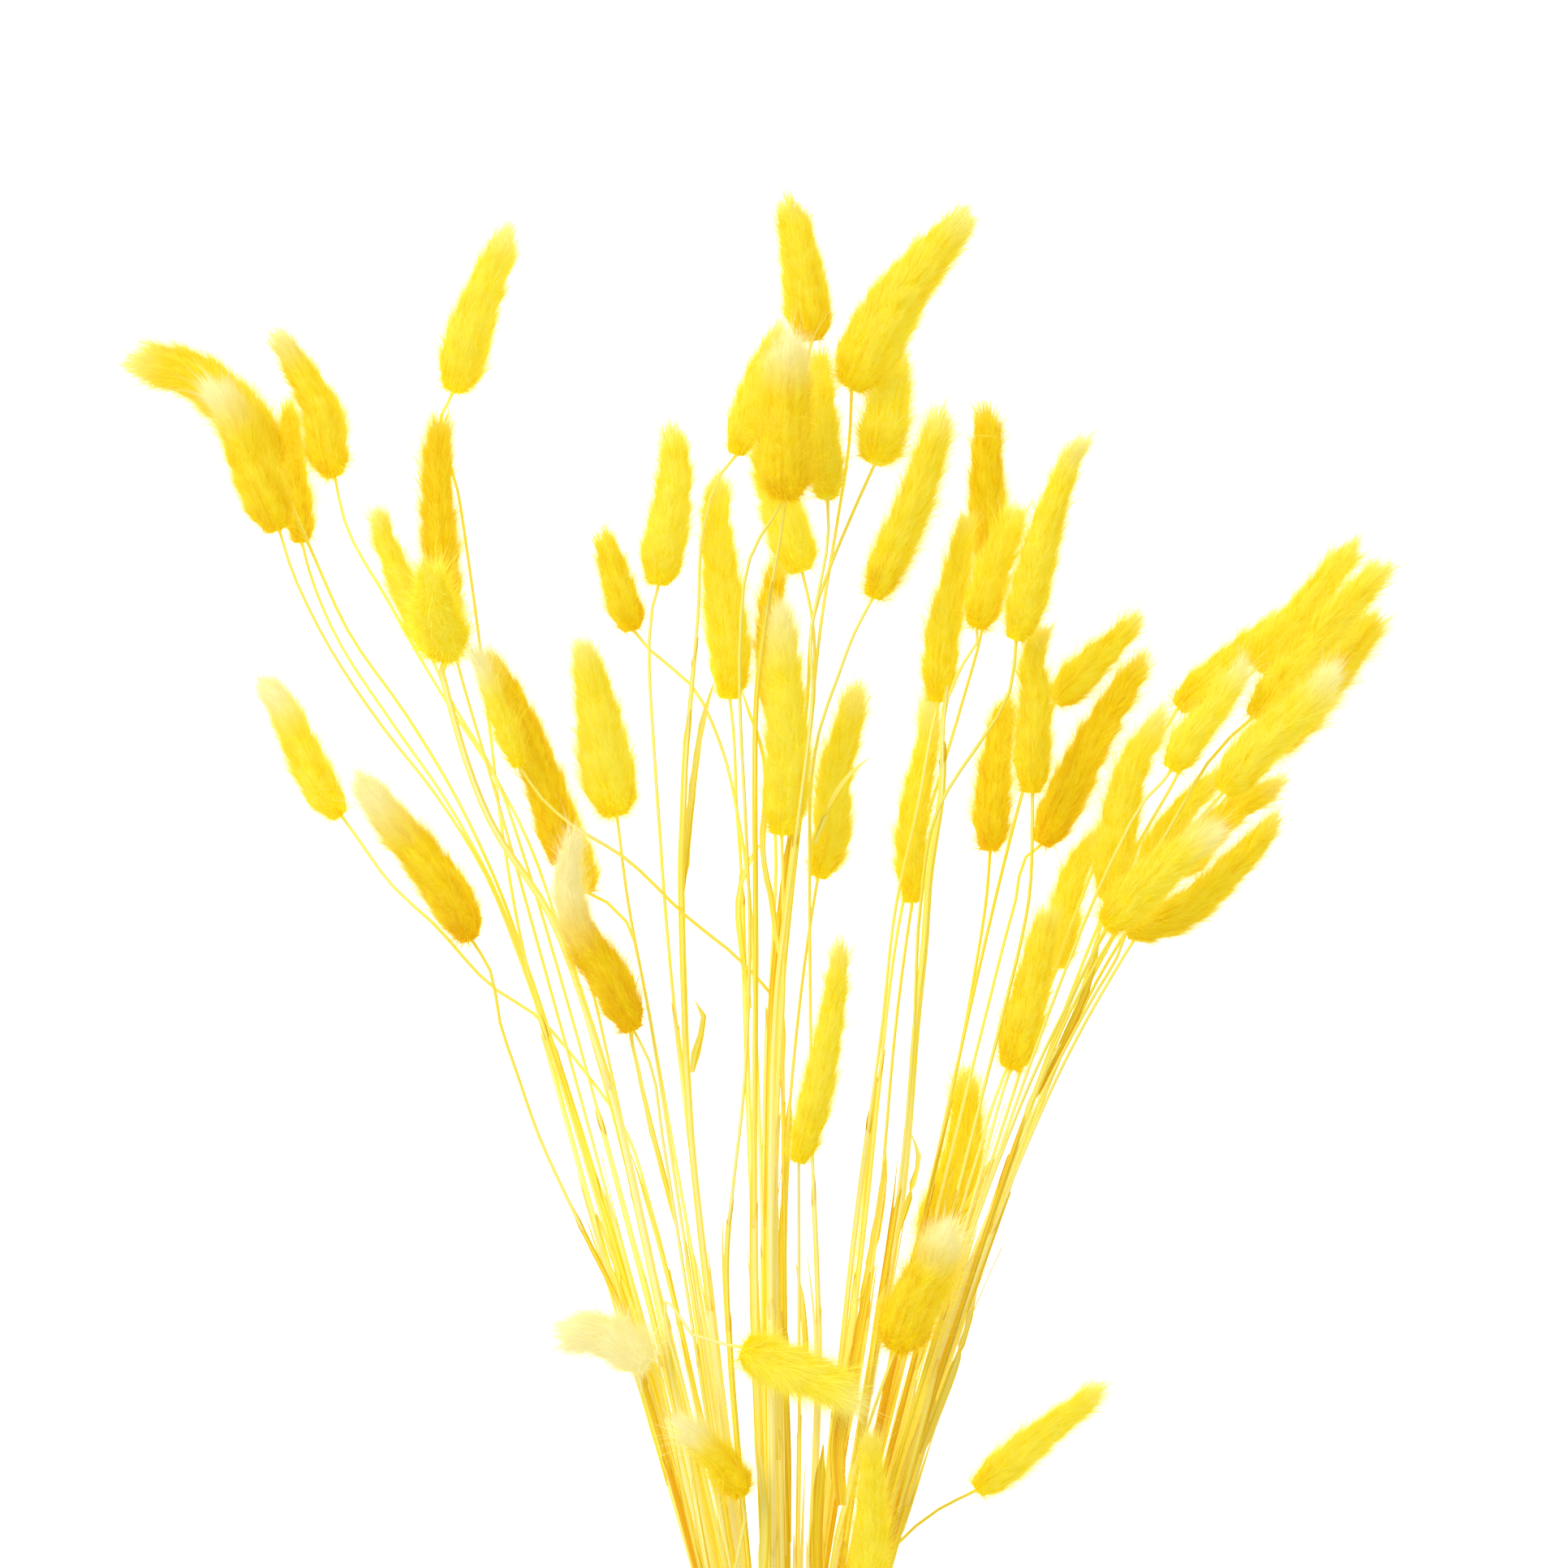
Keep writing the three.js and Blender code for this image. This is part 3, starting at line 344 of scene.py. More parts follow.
# %% The sheaths of a stem
STEM_SIDES = 10
ACROSS = 1.1
UPWARD = 0.92
FLATTENED_FROM = 0.8
BARE_RADIUS = 0.57 * MM
BARE_HUE = 0.18
BARE_HUE_GAIN = 0.22
FULL_WIDTH = 0.93
FIRST_SHEATH = (0.5, 0.74)
LOW_SHEATH = (0.12, 0.45)
HIGH_SHEATH = (0.4, 0.7)
PAST_THE_TOP = 1.1
SHEATH_WIDTHS = ((0.94, 1.08), (0.78, 0.94), (0.58, 0.74))
HIGH_SHEATH_WIDER = 1.15
FLUTING = (0.16, 0.14, 0.12, 0.05)
PALEST = (0.0, 0.05, 0.2, 0.0)
SHEATH_HUES = 0.2


def sheaths(form, chance, straw, high):
    """Each sheath's end from 0 to 1 along the stem, its radius, hue and flutes, and then the bare stem's."""
    lengths = lengths_along(np.array([tuple(centre) for centre, radius in form["stem"]]))
    radii = [radius for centre, radius in form["stem"]]
    wide = max(radii)
    last = max(length for length, radius in zip(lengths, radii) if radius > FULL_WIDTH * wide) / lengths[-1]
    first = last * chance.uniform(*FIRST_SHEATH)
    upper = last + (1 - last) * chance.uniform(*(HIGH_SHEATH if high else LOW_SHEATH))
    widths = [wide * chance.uniform(*limits) for limits in SHEATH_WIDTHS]
    widths[-1] *= HIGH_SHEATH_WIDER if high else 1.0
    ends = (first, last, upper, PAST_THE_TOP)
    made = []
    for end, radius, fluting, palest in zip(ends, (*widths, BARE_RADIUS), FLUTING, PALEST):
        flutes = 1 + chance.uniform(-fluting, fluting, STEM_SIDES)
        flutes[chance.integers(0, STEM_SIDES)] *= 1 - fluting
        hue = float(np.clip(straw + chance.uniform(-SHEATH_HUES, SHEATH_HUES), palest, 1.0))
        flat = radius > FLATTENED_FROM * wide
        made.append({"end": end, "radius": radius, "flutes": flutes, "hue": hue, "flat": flat})
    made[-1]["hue"] = BARE_HUE + BARE_HUE_GAIN * straw
    return made


def ring_points(centre, up, across, angles, radius, flat=False):
    """Points round a centre. A flat ring is wider than it is high."""
    wide, high = (ACROSS, UPWARD) if flat else (1.0, 1.0)
    return [
        centre + across * math.cos(angle) * reach * wide + up * math.sin(angle) * reach * high
        for angle, reach in zip(angles, radius)
    ]


print("sheaths on each stem:", len(SHEATH_WIDTHS))

# %% The strips that peel off a stem
STEM_STEP = 7.0 * MM
STRIP_WIDTH = (0.9 * MM, 2.0 * MM)
STRIP_THICKNESS = 0.12 * MM
STRIP_TWIST = 0.12
PEEL = (0.0 * MM, 2.6 * MM)


def add_strip(skin, line, axes, first, count, chance, hue, reach):
    """A torn strip of sheath that lies along the stem and peels off at its upper end."""
    ahead, up, across = axes
    angle = chance.uniform(0, 2 * math.pi)
    twist = chance.uniform(-STRIP_TWIST, STRIP_TWIST)
    peel = chance.uniform(*PEEL)
    half = chance.uniform(*STRIP_WIDTH) / 2
    sway = chance.uniform(-1, 1) * half
    previous = None
    for step in range(count + 1):
        k = first + step
        share = step / count
        a = angle + twist * step
        out = across[k] * math.cos(a) * ACROSS + up[k] * math.sin(a) * UPWARD
        side = up[k] * math.cos(a) - across[k] * math.sin(a)
        middle = line[k] + out * (reach + peel * share**3) + side * sway * share**2
        width = half * min(1.0, 0.3 + 2 * share) * (1 - share**4) + STRIP_THICKNESS
        spots = ((-width, 0.0), (0.0, STRIP_THICKNESS), (width, 0.0), (0.0, -STRIP_THICKNESS))
        points = [middle + side * a + out * b for a, b in spots]
        grain = [(a, b, step * STEM_STEP) for a, b in spots]
        current = skin.ring(points, straw=hue, worn=0.1 + 0.5 * share**2, grain=grain)
        if previous is None:
            skin.face(current, STRAW)
        else:
            skin.band(previous, current, STRAW)
        previous = current
    skin.face(previous[::-1], STRAW)


print("strips are", [width / MM for width in STRIP_WIDTH], "mm wide")

# %% The whole stem
NECK_SHARE = 0.86
KNEE_STEPS = 4
WIDENING_STEPS = 5.0
THINNING = 0.15
PAINTED_SIDE_SHADE = 0.55
SLANT = (5.0 * MM, 15.0 * MM)
FRAY = 2.2 * MM
RIM_WIDER = (1.04, 1.16)
MOST_STRIPS = 3
STRIP_STARTS = (18, 34)
STRIP_STEPS = (5, 15)
SHORTEST_STRIP = 4
STRIP_CLEAR_OF_HEAD = 6
STRIP_HUES = 0.35
STRIP_REACH = 1.05


def clamped(value):
    return min(1.0, max(0.0, value))


def add_stem(skin, form, chance, straw, high):
    """Lays the stem with its sheaths and strips, and gives back the place where the head begins."""
    line = smooth_line([centre for centre, radius in form["stem"]], STEM_STEP)[0]
    ahead, up, across = frames_along(line)
    lengths = lengths_along(line)
    angles = np.arange(STEM_SIDES) * 2 * math.pi / STEM_SIDES
    layers = sheaths(form, chance, straw, high)
    neck = NECK_SHARE * max(radius for centre, radius in form["stem"][:3])

    def at(k, layer, radius, reach=None, worn=0.0):
        """One ring of the stem, in a sheath's form and hue, with painted light on its top and painted shade
        on its sides.
        """
        rim = radius * layer["flutes"]
        points = ring_points(line[k], up[k], across[k], angles, rim, layer["flat"])
        if reach is not None:
            points = [point + ahead[k] * length for point, length in zip(points, reach)]
        grain = [(math.cos(a) * MM, math.sin(a) * MM, lengths[k]) for a in angles]
        # Painted light and shade: each ring is paler on top and more golden at its sides.
        hues = [clamped(layer["hue"] + PAINTED_SIDE_SHADE * (abs(math.cos(a)) - 0.5)) for a in angles]
        return skin.ring(points, straw=hues, worn=worn, grain=grain)

    layer = layers.pop(0)
    pith = at(0, layer, neck * 0.5, worn=0.5)
    hollow = skin.ring([line[0] + ahead[0] * MM], straw=straw, worn=0.9)
    skin.fan(pith, hollow[0], STRAW, turned=True)
    previous = pith
    for k in range(len(line)):
        widening = clamped((k - KNEE_STEPS) / WIDENING_STEPS)
        radius = min(layer["radius"], neck + (layer["radius"] - neck) * widening)
        radius *= 1 - THINNING * (lengths[k] / lengths[-1]) ** 2
        current = at(k, layer, radius)
        skin.band(previous, current, STRAW)
        previous = current
        if lengths[k] >= layer["end"] * lengths[-1] and k < len(line) - 3:
            turned = angles - chance.uniform(0, 2 * math.pi)
            slant = chance.uniform(*SLANT) * (0.5 + 0.5 * np.cos(turned)) ** 2
            reach = slant + chance.uniform(0, FRAY, STEM_SIDES)
            worn = (0.15 + 0.6 * reach / reach.max()).tolist()
            rim = at(k, layer, radius * chance.uniform(*RIM_WIDER), reach=reach, worn=worn)
            skin.band(previous, rim, STRAW)
            layer = layers.pop(0)
            previous = at(k, layer, layer["radius"], worn=0.5)
            skin.band(rim, previous, STRAW)
    inside = skin.ring([line[-1] + ahead[-1] * 2 * MM], straw=straw)
    skin.fan(previous, inside[0], STRAW)
    wide = max(radius for centre, radius in form["stem"])
    for strip in range(chance.integers(1, MOST_STRIPS + 1)):
        first = int(chance.integers(*STRIP_STARTS))
        count = min(int(chance.integers(*STRIP_STEPS)), len(line) - STRIP_CLEAR_OF_HEAD - first)
        if count >= SHORTEST_STRIP:
            hue = clamped(straw + chance.uniform(-STRIP_HUES, STRIP_HUES))
            add_strip(skin, line, (ahead, up, across), first, count, chance, hue, wide * STRIP_REACH)
    return line[-1]


print("stem sides:", STEM_SIDES, "step:", STEM_STEP / MM, "mm")

# %% [markdown]
# A leaf blade is a long flat strip, folded a little along its middle rib and narrowing to a dry, curled
# tip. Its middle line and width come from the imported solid. A plane with a Solidify modifier would be
# thin in the same way all along. This strip is closed, with two real sides that come closer together
# towards its tip.

# %% The leaf blades
BLADE_STEP = 5.0 * MM
BLADE_THICKNESS = 0.22 * MM
BLADE_THINNING = 0.6
BLADE_TIP = 0.1
BLADE_FOLD = 0.28
BLADE_EDGE = (0.72, 1.08)
LEVELLED = 0.75
TINY = 1e-12


def add_blade(skin, rows, chance, straw):
    """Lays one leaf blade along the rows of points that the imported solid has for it."""
    middles = [sum(row, Vector()) / len(row) for row in rows]
    halves = []
    for row in rows[:-1]:
        spans = sorted((a - b for a, b in itertools.combinations(row, 2)), key=lambda span: -span.length)
        longest = spans[2]
        turned = bool(halves) and longest.dot(halves[-1]) < 0
        halves.append(-longest if turned else longest)
    halves.append(halves[-1] * BLADE_TIP)
    line, places = smooth_line(middles, BLADE_STEP)
    widths = np.array([tuple(half / 2) for half in halves])
    across = np.array([
        [np.interp(place, range(len(widths)), widths[:, axis]) for axis in range(3)] for place in places
    ])
    ahead = np.gradient(line, axis=0)
    ahead /= np.linalg.norm(ahead, axis=1)[:, None]
    across -= ahead * np.sum(ahead * across, axis=1)[:, None]
    wide = np.linalg.norm(across, axis=1)[:, None]
    level = np.cross(ahead, (0.0, 0.0, 1.0))
    level *= np.where(np.sum(level * across, axis=1)[:, None] < 0, -wide, wide)
    across = LEVELLED * level + (1 - LEVELLED) * across
    across *= wide / (np.linalg.norm(across, axis=1)[:, None] + TINY)
    up = np.cross(across, ahead)
    up /= np.linalg.norm(up, axis=1)[:, None] + TINY
    up *= np.where(up[:, 2:3] < 0, -1.0, 1.0)
    lengths = lengths_along(line)
    previous = None
    torn = chance.uniform(*BLADE_EDGE, (len(line), 2))
    for k in range(len(line)):
        share = lengths[k] / lengths[-1]
        half = np.linalg.norm(across[k])
        side = across[k] / (half + TINY)
        thick = BLADE_THICKNESS * (1 - BLADE_THINNING * share)
        fold = half * BLADE_FOLD
        left, right = half * torn[k]
        spots = [
            (-left, fold), (-left * 0.5, fold * 0.4 + thick), (0, thick), (right * 0.5, fold * 0.4 + thick),
            (right, fold), (0, -thick),
        ]
        points = [line[k] + side * a + up[k] * b for a, b in spots]
        edge = 0.08 + 0.5 * share**2
        worn = [edge, edge * 0.4, 0.1, edge * 0.4, edge, 0.3]
        grain = [(a, b, lengths[k]) for a, b in spots]
        current = skin.ring(points, straw=straw, worn=worn, grain=grain)
        if previous is None:
            skin.face(current, STRAW)
        else:
            for index in range(len(current)):
                following = (index + 1) % len(current)
                corners = (previous[following], previous[index], current[index], current[following])
                skin.face(corners, STRAW)
        previous = current
    skin.face(previous[::-1], STRAW)


print("blade step:", BLADE_STEP / MM, "mm")

# %% [markdown]
# Under its fur a bunny tail is a firm oval head: round at its base, fullest low down, and narrowing to
# the tip. A stretched sphere could stand for it, but a real head bends, and a sphere's points crowd
# together at its ends. So even rings are laid along the bent middle line. They carry the values that the
# fur needs at every point: which way it lies, how long it is, and how far it stands off.

# %% The bodies of the heads
HEAD_SIDES = 18
HEAD_STEP = 2.2 * MM
FULLEST = 0.22
TAPER = 1.3
BLUNTNESS = 0.4
CLOSING = 0.1
TUFT_RELIEF = 0.6 * MM
BRUSH = 0.8
UNDER_FUR = 0.3 * MM
INWARD = -0.05
MOST_SWELL = 2.5
UNDERSIDE = 0.55
UNDERSIDE_BELOW = -0.3
HEAD_GRAIN = 6
PAINTED_SHADE_AT_BASE = 0.5
PAINTED_SHADE_TO = 0.35
STREAK_HOLD = 0.75
ROW_TONE = 0.2
BASE_LENGTH = 0.62
FULL_LENGTH_FROM = 0.25
TIP_FROM = 0.7
TIP_LONGER = 0.6
TIP_LIES = 0.3
FOOT_SHARE = 0.12
FOOT_LIFT = 0.35
LAST_SHARE = 0.985
FIRST_SHARE = 0.012
SLOPE_REACH = 0.02
THINNEST = 0.35 * MM
FOOT_WIDER = 0.5 * MM
FOOT_RING = 0.02


def fullness(share, tip):
    """How full the head is at a share of its length, when it narrows to the given share at its tip."""
    if share < FULLEST:
        low = share / FULLEST
        return (low * (2 - low)) ** BLUNTNESS
    high = (share - FULLEST) / (1 - FULLEST)
    closing = min(1.0, (1 - share) / CLOSING)
    return (1 - (1 - tip) * high**TAPER) * math.sqrt(closing * (2 - closing))


def add_head(skin, form, base, chance, look):
    """Lays the body of the head from the stem's end to its tip."""
    rows = form["head"]
    line = smooth_line([base] + [centre for centre, radii in rows], HEAD_STEP)[0]
    ahead, up, across = frames_along(line)
    lengths = lengths_along(line)
    whole = lengths[-1] - BRUSH * look["length"] * MM
    widest = max(radii[len(radii) // 2] for centre, radii in rows[:-1]) * look["wider"] - UNDER_FUR
    angles = np.arange(HEAD_SIDES) * 2 * math.pi / HEAD_SIDES
    row_step = whole / len(rows)
    streaks = chance.uniform(-0.5, 0.5, HEAD_SIDES)
    previous = None
    for k in range(int(np.searchsorted(lengths, whole - HEAD_STEP / 2))):
        share = min(LAST_SHARE, FIRST_SHARE + lengths[k] / whole)
        full = fullness(share, look["tip"])
        radius = widest * full + FOOT_WIDER * (share < FOOT_RING)
        row_wave = np.cos(3 * angles + math.pi * lengths[k] / row_step)
        reach = np.maximum(THINNEST, radius + TUFT_RELIEF * full * row_wave)
        points = ring_points(line[k], up[k], across[k], angles, reach)
        outward = [across[k] * math.cos(a) + up[k] * math.sin(a) for a in angles]
        spots = (min(0.99, max(0.0, share + side)) for side in (-SLOPE_REACH, SLOPE_REACH))
        near, far = (fullness(spot, look["tip"]) for spot in spots)
        swell = (far - near) * widest / (2 * SLOPE_REACH * whole)
        flow = [ahead[k] + out * np.clip(swell, INWARD, MOST_SWELL) for out in outward]
        flow = [vector / np.linalg.norm(vector) for vector in flow]
        streaks = STREAK_HOLD * streaks + (1 - STREAK_HOLD) * chance.uniform(-0.5, 0.5, HEAD_SIDES)
        # The head is painted more golden towards its base, where it meets the stem: painted shade.
        tone = 0.5 + streaks + ROW_TONE * row_wave + PAINTED_SHADE_AT_BASE * max(0.0, 1 - share / PAINTED_SHADE_TO)
        grown = BASE_LENGTH + (1 - BASE_LENGTH) * min(1.0, share / FULL_LENGTH_FROM)
        length = look["length"] * (grown + TIP_LONGER * max(0.0, share - TIP_FROM))
        lift = look["lift"] * (1.0 - TIP_LIES * share) + FOOT_LIFT * max(0.0, 1 - share / FOOT_SHARE)
        current = skin.ring(
            points,
            along=share,
            tone=tone.tolist(),
            fur_length=length * MM,
            fur_lift=lift,
            fur_density=[1.0 if out[2] > UNDERSIDE_BELOW else UNDERSIDE for out in outward],
            flow=flow,
            grain=[
                (math.cos(a) * HEAD_GRAIN * MM, math.sin(a) * HEAD_GRAIN * MM, lengths[k]) for a in angles
            ],
        )
        if previous is None:
            foot = skin.ring([line[0] - ahead[0] * 0.3 * MM], along=0.0, flow=[tuple(ahead[0])])
            skin.fan(current, foot[0], FUR, turned=True)
        else:
            skin.band(previous, current, FUR)
        previous = current
    tip_spot = np.array([np.interp(whole, lengths, line[:, axis]) for axis in range(3)])
    tip = skin.ring(
        [tip_spot], along=1.0, tone=0.5, fur_length=look["length"] * MM, fur_lift=0.2, fur_density=1.0,
        flow=[tuple(ahead[k])],
    )
    skin.fan(previous, tip[0], FUR)


print("head sides:", HEAD_SIDES, "step:", HEAD_STEP / MM, "mm")

# %% [markdown]
# No two heads took the dye alike. Some are light lemon, some dark gold where they lay deep in the bath,
# and many keep a cream tip. Chance alone could not put them where they are, so the first table says for
# each flower how golden it is and how much of the head is cream, from the tip down. The second says how
# full the head still is near its tip. The straw's number goes from cream at 0 to orange gold at 1.

# %% How each flower took the dye
PLAIN = {"tip": 0.5, "length": 5.4, "lift": 0.34}
LONG_FUR_LONGER = 1.25
LONG_FUR_LIFTED = 1.2
DYES = {
    # Flower 3 lies in shade, and part of its gold is painted shade.
    1: (0.42, 0.2), 2: (0.5, 0.4), 3: (0.6, 0.1), 4: (0.4, 0.3), 5: (0.1, 0.2), 6: (0.7, 0.1),
    7: (0.15, 0.2), 8: (0.12, 0.1), 9: (0.5, 0.1), 10: (0.12, 0.15), 11: (0.68, 0.15), 12: (0.35, 0.4),
    13: (0.2, 0.45), 14: (0.75, 0.6), 15: (0.15, 0.2), 16: (0.2, 0.45), 17: (0.6, 0.45), 18: (0.35, 0.15),
    19: (0.25, 0.15), 20: (0.5, 0.35), 21: (0.08, 0.2), 22: (0.3, 0.15), 23: (0.2, 0.15), 24: (0.2, 0.2),
    25: (0.25, 0.2), 26: (0.3, 0.2), 27: (0.62, 0.1), 28: (0.35, 0.15), 29: (0.25, 0.25), 30: (0.35, 0.15),
    31: (0.3, 0.3), 32: (0.6, 0.1), 33: (0.4, 0.15), 34: (0.35, 0.2), 35: (0.62, 0.1), 36: (0.3, 0.15),
    37: (0.4, 0.2), 38: (0.08, 0.3), 39: (0.3, 0.15), 40: (0.5, 0.1), 41: (0.15, 0.3), 42: (0.3, 0.2),
    43: (0.35, 0.2), 44: (0.35, 0.15), 45: (0.25, 0.3), 46: (0.52, 0.2), 47: (0.5, 0.15), 48: (0.35, 0.2),
    49: (0.2, 0.15), 50: (0.42, 0.15), 51: (0.5, 0.38), 52: (0.05, 0.2), 53: (0.1, 1.4), 54: (0.5, 0.5),
    55: (0.2, 0.15), 56: (0.1, 0.15), 57: (0.15, 0.3), 58: (0.7, 0.15), 59: (0.2, 0.2),
}
TIPS = {
    1: 0.8, 4: 0.35, 6: 0.65, 8: 0.35, 11: 0.55, 12: 0.4, 14: 0.4, 15: 0.4, 16: 0.65, 17: 0.6, 18: 0.55,
    20: 0.65, 24: 0.38, 26: 0.6, 27: 0.6, 29: 0.35, 30: 0.45, 33: 0.45, 34: 0.35, 39: 0.6, 40: 0.65,
    41: 0.55, 45: 0.55, 50: 0.4, 51: 0.65, 52: 0.65, 53: 0.75, 55: 0.35, 59: 0.55,
}
WIDER = {27: 1.12, 50: 1.12, 56: 1.2}
LONG_FUR = {1, 6, 26, 36, 39, 40, 52, 53}
CURLY = {53: 2.2, 54: 1.5, 51: 1.4, 19: 1.3}
ORANGE_STRAW = {42, 51, 55}
SET_STRAW = {8: 0.22, 9: 0.22, 28: 0.05}
HIGH_SHEATHS = {8, 18, 21, 22, 23, 24, 25, 57, 58, 59}


def look_of(number):
    """What sets one flower's head apart from the others."""
    look = dict(PLAIN)
    look["dye"], look["pale"] = DYES[number]
    look["tip"] = TIPS.get(number, look["tip"])
    look["wider"] = WIDER.get(number, 1.0)
    if number in LONG_FUR:
        look["length"] *= LONG_FUR_LONGER
        look["lift"] *= LONG_FUR_LIFTED
    return look


print("dyes from", min(DYES.values()), "to", max(DYES.values()))

# %% [markdown]
# Each flower is now laid as one skin: its stem, its leaf blades and the body of its head. Straw that lies
# deep in the bunch is painted more golden, as painted shade under the straw above it. Every flower has a
# seed of its own, so it differs from the others and still comes out the same each time the script runs.

# %% The skins of all the flowers
FIRST_SEED = 1000
LIES_DEEP = 8 * MM
DEPTH_RANGE = 30 * MM
LEAST_STRAW = 0.08
DEEP_PAINTED_SHADE = 0.35
STRAW_SPREAD = (-0.32, 0.47)
ORANGE_BLADE = 0.76
PLAIN_BLADE = 0.38
BLADE_GAIN = 0.12

bodies = {}
for name in flowers:
    number = int(name[-2:])
    chance = np.random.default_rng(FIRST_SEED + number)
    form = forms[name]
    look = look_of(number)
    heights = [centre.z for centre, radius in form["stem"][3:6]]
    depth = 1 - clamped((sum(heights) / len(heights) - LIES_DEEP) / DEPTH_RANGE)
    # Straw that lies low in the bunch is painted more golden: painted shade under the straw above it.
    straw = clamped(LEAST_STRAW + DEEP_PAINTED_SHADE * depth + chance.uniform(*STRAW_SPREAD))
    straw = SET_STRAW.get(number, straw)
    blade_hue = ORANGE_BLADE if number in ORANGE_STRAW else PLAIN_BLADE + BLADE_GAIN * straw
    skin = Skin(dye=look["dye"], pale=look["pale"], straw=straw)
    top = add_stem(skin, form, chance, straw, number in HIGH_SHEATHS)
    for blade in form["leaves"]:
        add_blade(skin, blade, chance, blade_hue)
    add_head(skin, form, Vector(top), chance, look)
    bodies[name] = skin
print("points in all:", sum(len(skin.points) for skin in bodies.values()))

# %% [markdown]
# Every finish here is made of fine fibres that run one way: fur, straw and twine. An image of fibres
# would need a flat layout of each piece. Instead, one node group makes such fibres from a point's grain,
# a place that goes round the piece in its first two numbers and along it in the third. Noise that is
# squeezed round the piece and drawn out along it looks like fibres. A few helpers that add nodes keep
# this and all later trees short.

# %% Helpers that add nodes to a tree
def put(tree, socket, value):
    """Sets a socket to a value, or links it where the value is another node's socket."""
    if isinstance(value, bpy.types.NodeSocket):
        tree.links.new(value, socket)
    else:
        socket.default_value = value


def add_node(tree, kind, sockets=(), **settings):
    """The outputs of a new node. Its sockets are filled by name or by number once its settings are made."""
    node = tree.nodes.new(kind)
    for name, value in settings.items():
        setattr(node, name, value)
    for socket, value in dict(sockets).items():
        put(tree, node.inputs[socket], value)
    return node.outputs


def maths(tree, operation, first, second=0.0, clamp=False):
    return add_node(tree, "ShaderNodeMath", {0: first, 1: second}, operation=operation, use_clamp=clamp)[0]


def vectors(tree, operation, first, second):
    return add_node(tree, "ShaderNodeVectorMath", {0: first, 1: second}, operation=operation)[0]


def swing(tree, value, width):
    """A value between 0 and 1, turned into one that swings round 0."""
    return maths(tree, "MULTIPLY", maths(tree, "SUBTRACT", value, 0.5), width)


def new_tree(name, kind, inputs, outputs):
    """A tree with named inputs and outputs, the sockets that bring them in, and those that take them out."""
    tree = bpy.data.node_groups.new(name, kind)
    for direction, sockets in (("INPUT", inputs), ("OUTPUT", outputs)):
        for label, value in sockets.items():
            tree.interface.new_socket(label, in_out=direction, socket_type="NodeSocket" + value)
    return tree, tree.nodes.new("NodeGroupInput").outputs, tree.nodes.new("NodeGroupOutput").inputs


print("helpers for trees ready")

# %% Fibres that run along a piece
FIBRE_KINDS = {"Fine": (1.0, 2.0), "Broad": (0.3, 1.0)}

fibres, given, leave = new_tree(
    "fibres",
    "ShaderNodeTree",
    {"Grain": "Vector", "Round": "Float", "Along": "Float"},
    dict.fromkeys(FIBRE_KINDS, "Float"),
)
for output, (scale, detail) in FIBRE_KINDS.items():
    closeness = {"X": given["Round"], "Y": given["Round"], "Z": given["Along"]}
    stretch = add_node(fibres, "ShaderNodeCombineXYZ", closeness)[0]
    spot = vectors(fibres, "MULTIPLY", given["Grain"], stretch)
    noise = add_node(fibres, "ShaderNodeTexNoise", {"Vector": spot, "Scale": scale, "Detail": detail})
    put(fibres, leave[output], noise[0])
print("fibres group:", len(fibres.nodes), "nodes")

# %% [markdown]
# The fur's colour runs from lemon to dark gold. Each hair is painted paler and creamier towards its end,
# as painted light that shines through the thin ends, while its root deep between the hairs keeps the
# darker gold. The cream of a tip that took no dye is mixed in from the tip of the head down. Fur is soft
# and never shines in one spot: it has a broad sheen instead. Light also passes through such fine hairs and
# comes out golden, so that even the shaded side is never dark. Blender could follow that light from hair
# to hair, but here a weak golden glow, painted light, stands for it.

# %% The fur's finish
FUR_HUES = (
    (0.0, (0.90, 0.84, 0.08, 1.0)),
    (0.4, (0.90, 0.77, 0.010, 1.0)),
    (0.8, (0.85, 0.64, 0.003, 1.0)),
    (1.0, (0.81, 0.53, 0.002, 1.0)),
)
GOLD = (0.90, 0.76, 0.003, 1.0)
CREAM = (0.90, 0.85, 0.50, 1.0)
SHEEN_TINT = (1.0, 0.96, 0.6, 1.0)
FUR_GLOW = 0.19
FUR_ROUGHNESS = (0.62, 0.2)
FUR_FIBRES = (900.0, 60.0)
TONE_STRENGTH = 0.45
BROAD_STREAKS = 0.2
FINE_STREAKS = 1.3
PAINTED_LIGHT_AT_ENDS = 0.35
PAINTED_CREAM_AT_ENDS = 0.3
CREAM_FROM = 1.02
CREAM_EDGE = 3.4
MOST_CREAM = 0.9
LIGHT_DYE_PAINTED_CREAM = 1.1
GOLDEN_GLOW = 0.5


def reading(tree, name, output="Fac"):
    """A value that the mesh carries at each point."""
    return add_node(tree, "ShaderNodeAttribute", attribute_name=name)[output]


def fibres_in(tree, size):
    """The fibres as a finish needs them: how close they are round the piece, and how close along it."""
    sockets = {"Grain": reading(tree, "grain", "Vector"), "Round": size[0], "Along": size[1]}
    return add_node(tree, "ShaderNodeGroup", sockets, node_tree=fibres)


def hues_along(tree, factor, stops):
    """The hue at a place between the stops."""
    node = tree.nodes.new("ShaderNodeValToRGB")
    elements = node.color_ramp.elements
    elements.remove(elements[1])
    elements[0].position = stops[0][0]
    for position, hue in stops:
        stop = elements[0] if position == stops[0][0] else elements.new(position)
        stop.color = hue
    put(tree, node.inputs[0], factor)
    return node.outputs[0]


def mixed(tree, factor, first, second):
    """A colour between two."""
    return add_node(tree, "ShaderNodeMix", {0: factor, 6: first, 7: second}, data_type="RGBA")[2]


def vary_roughness(tree, shader, limits, fibre):
    """Makes a finish smoother and rougher by its fibres, from the lower limit up."""
    low, spread = limits
    put(tree, shader.inputs["Roughness"], maths(tree, "ADD", maths(tree, "MULTIPLY", fibre, spread), low))


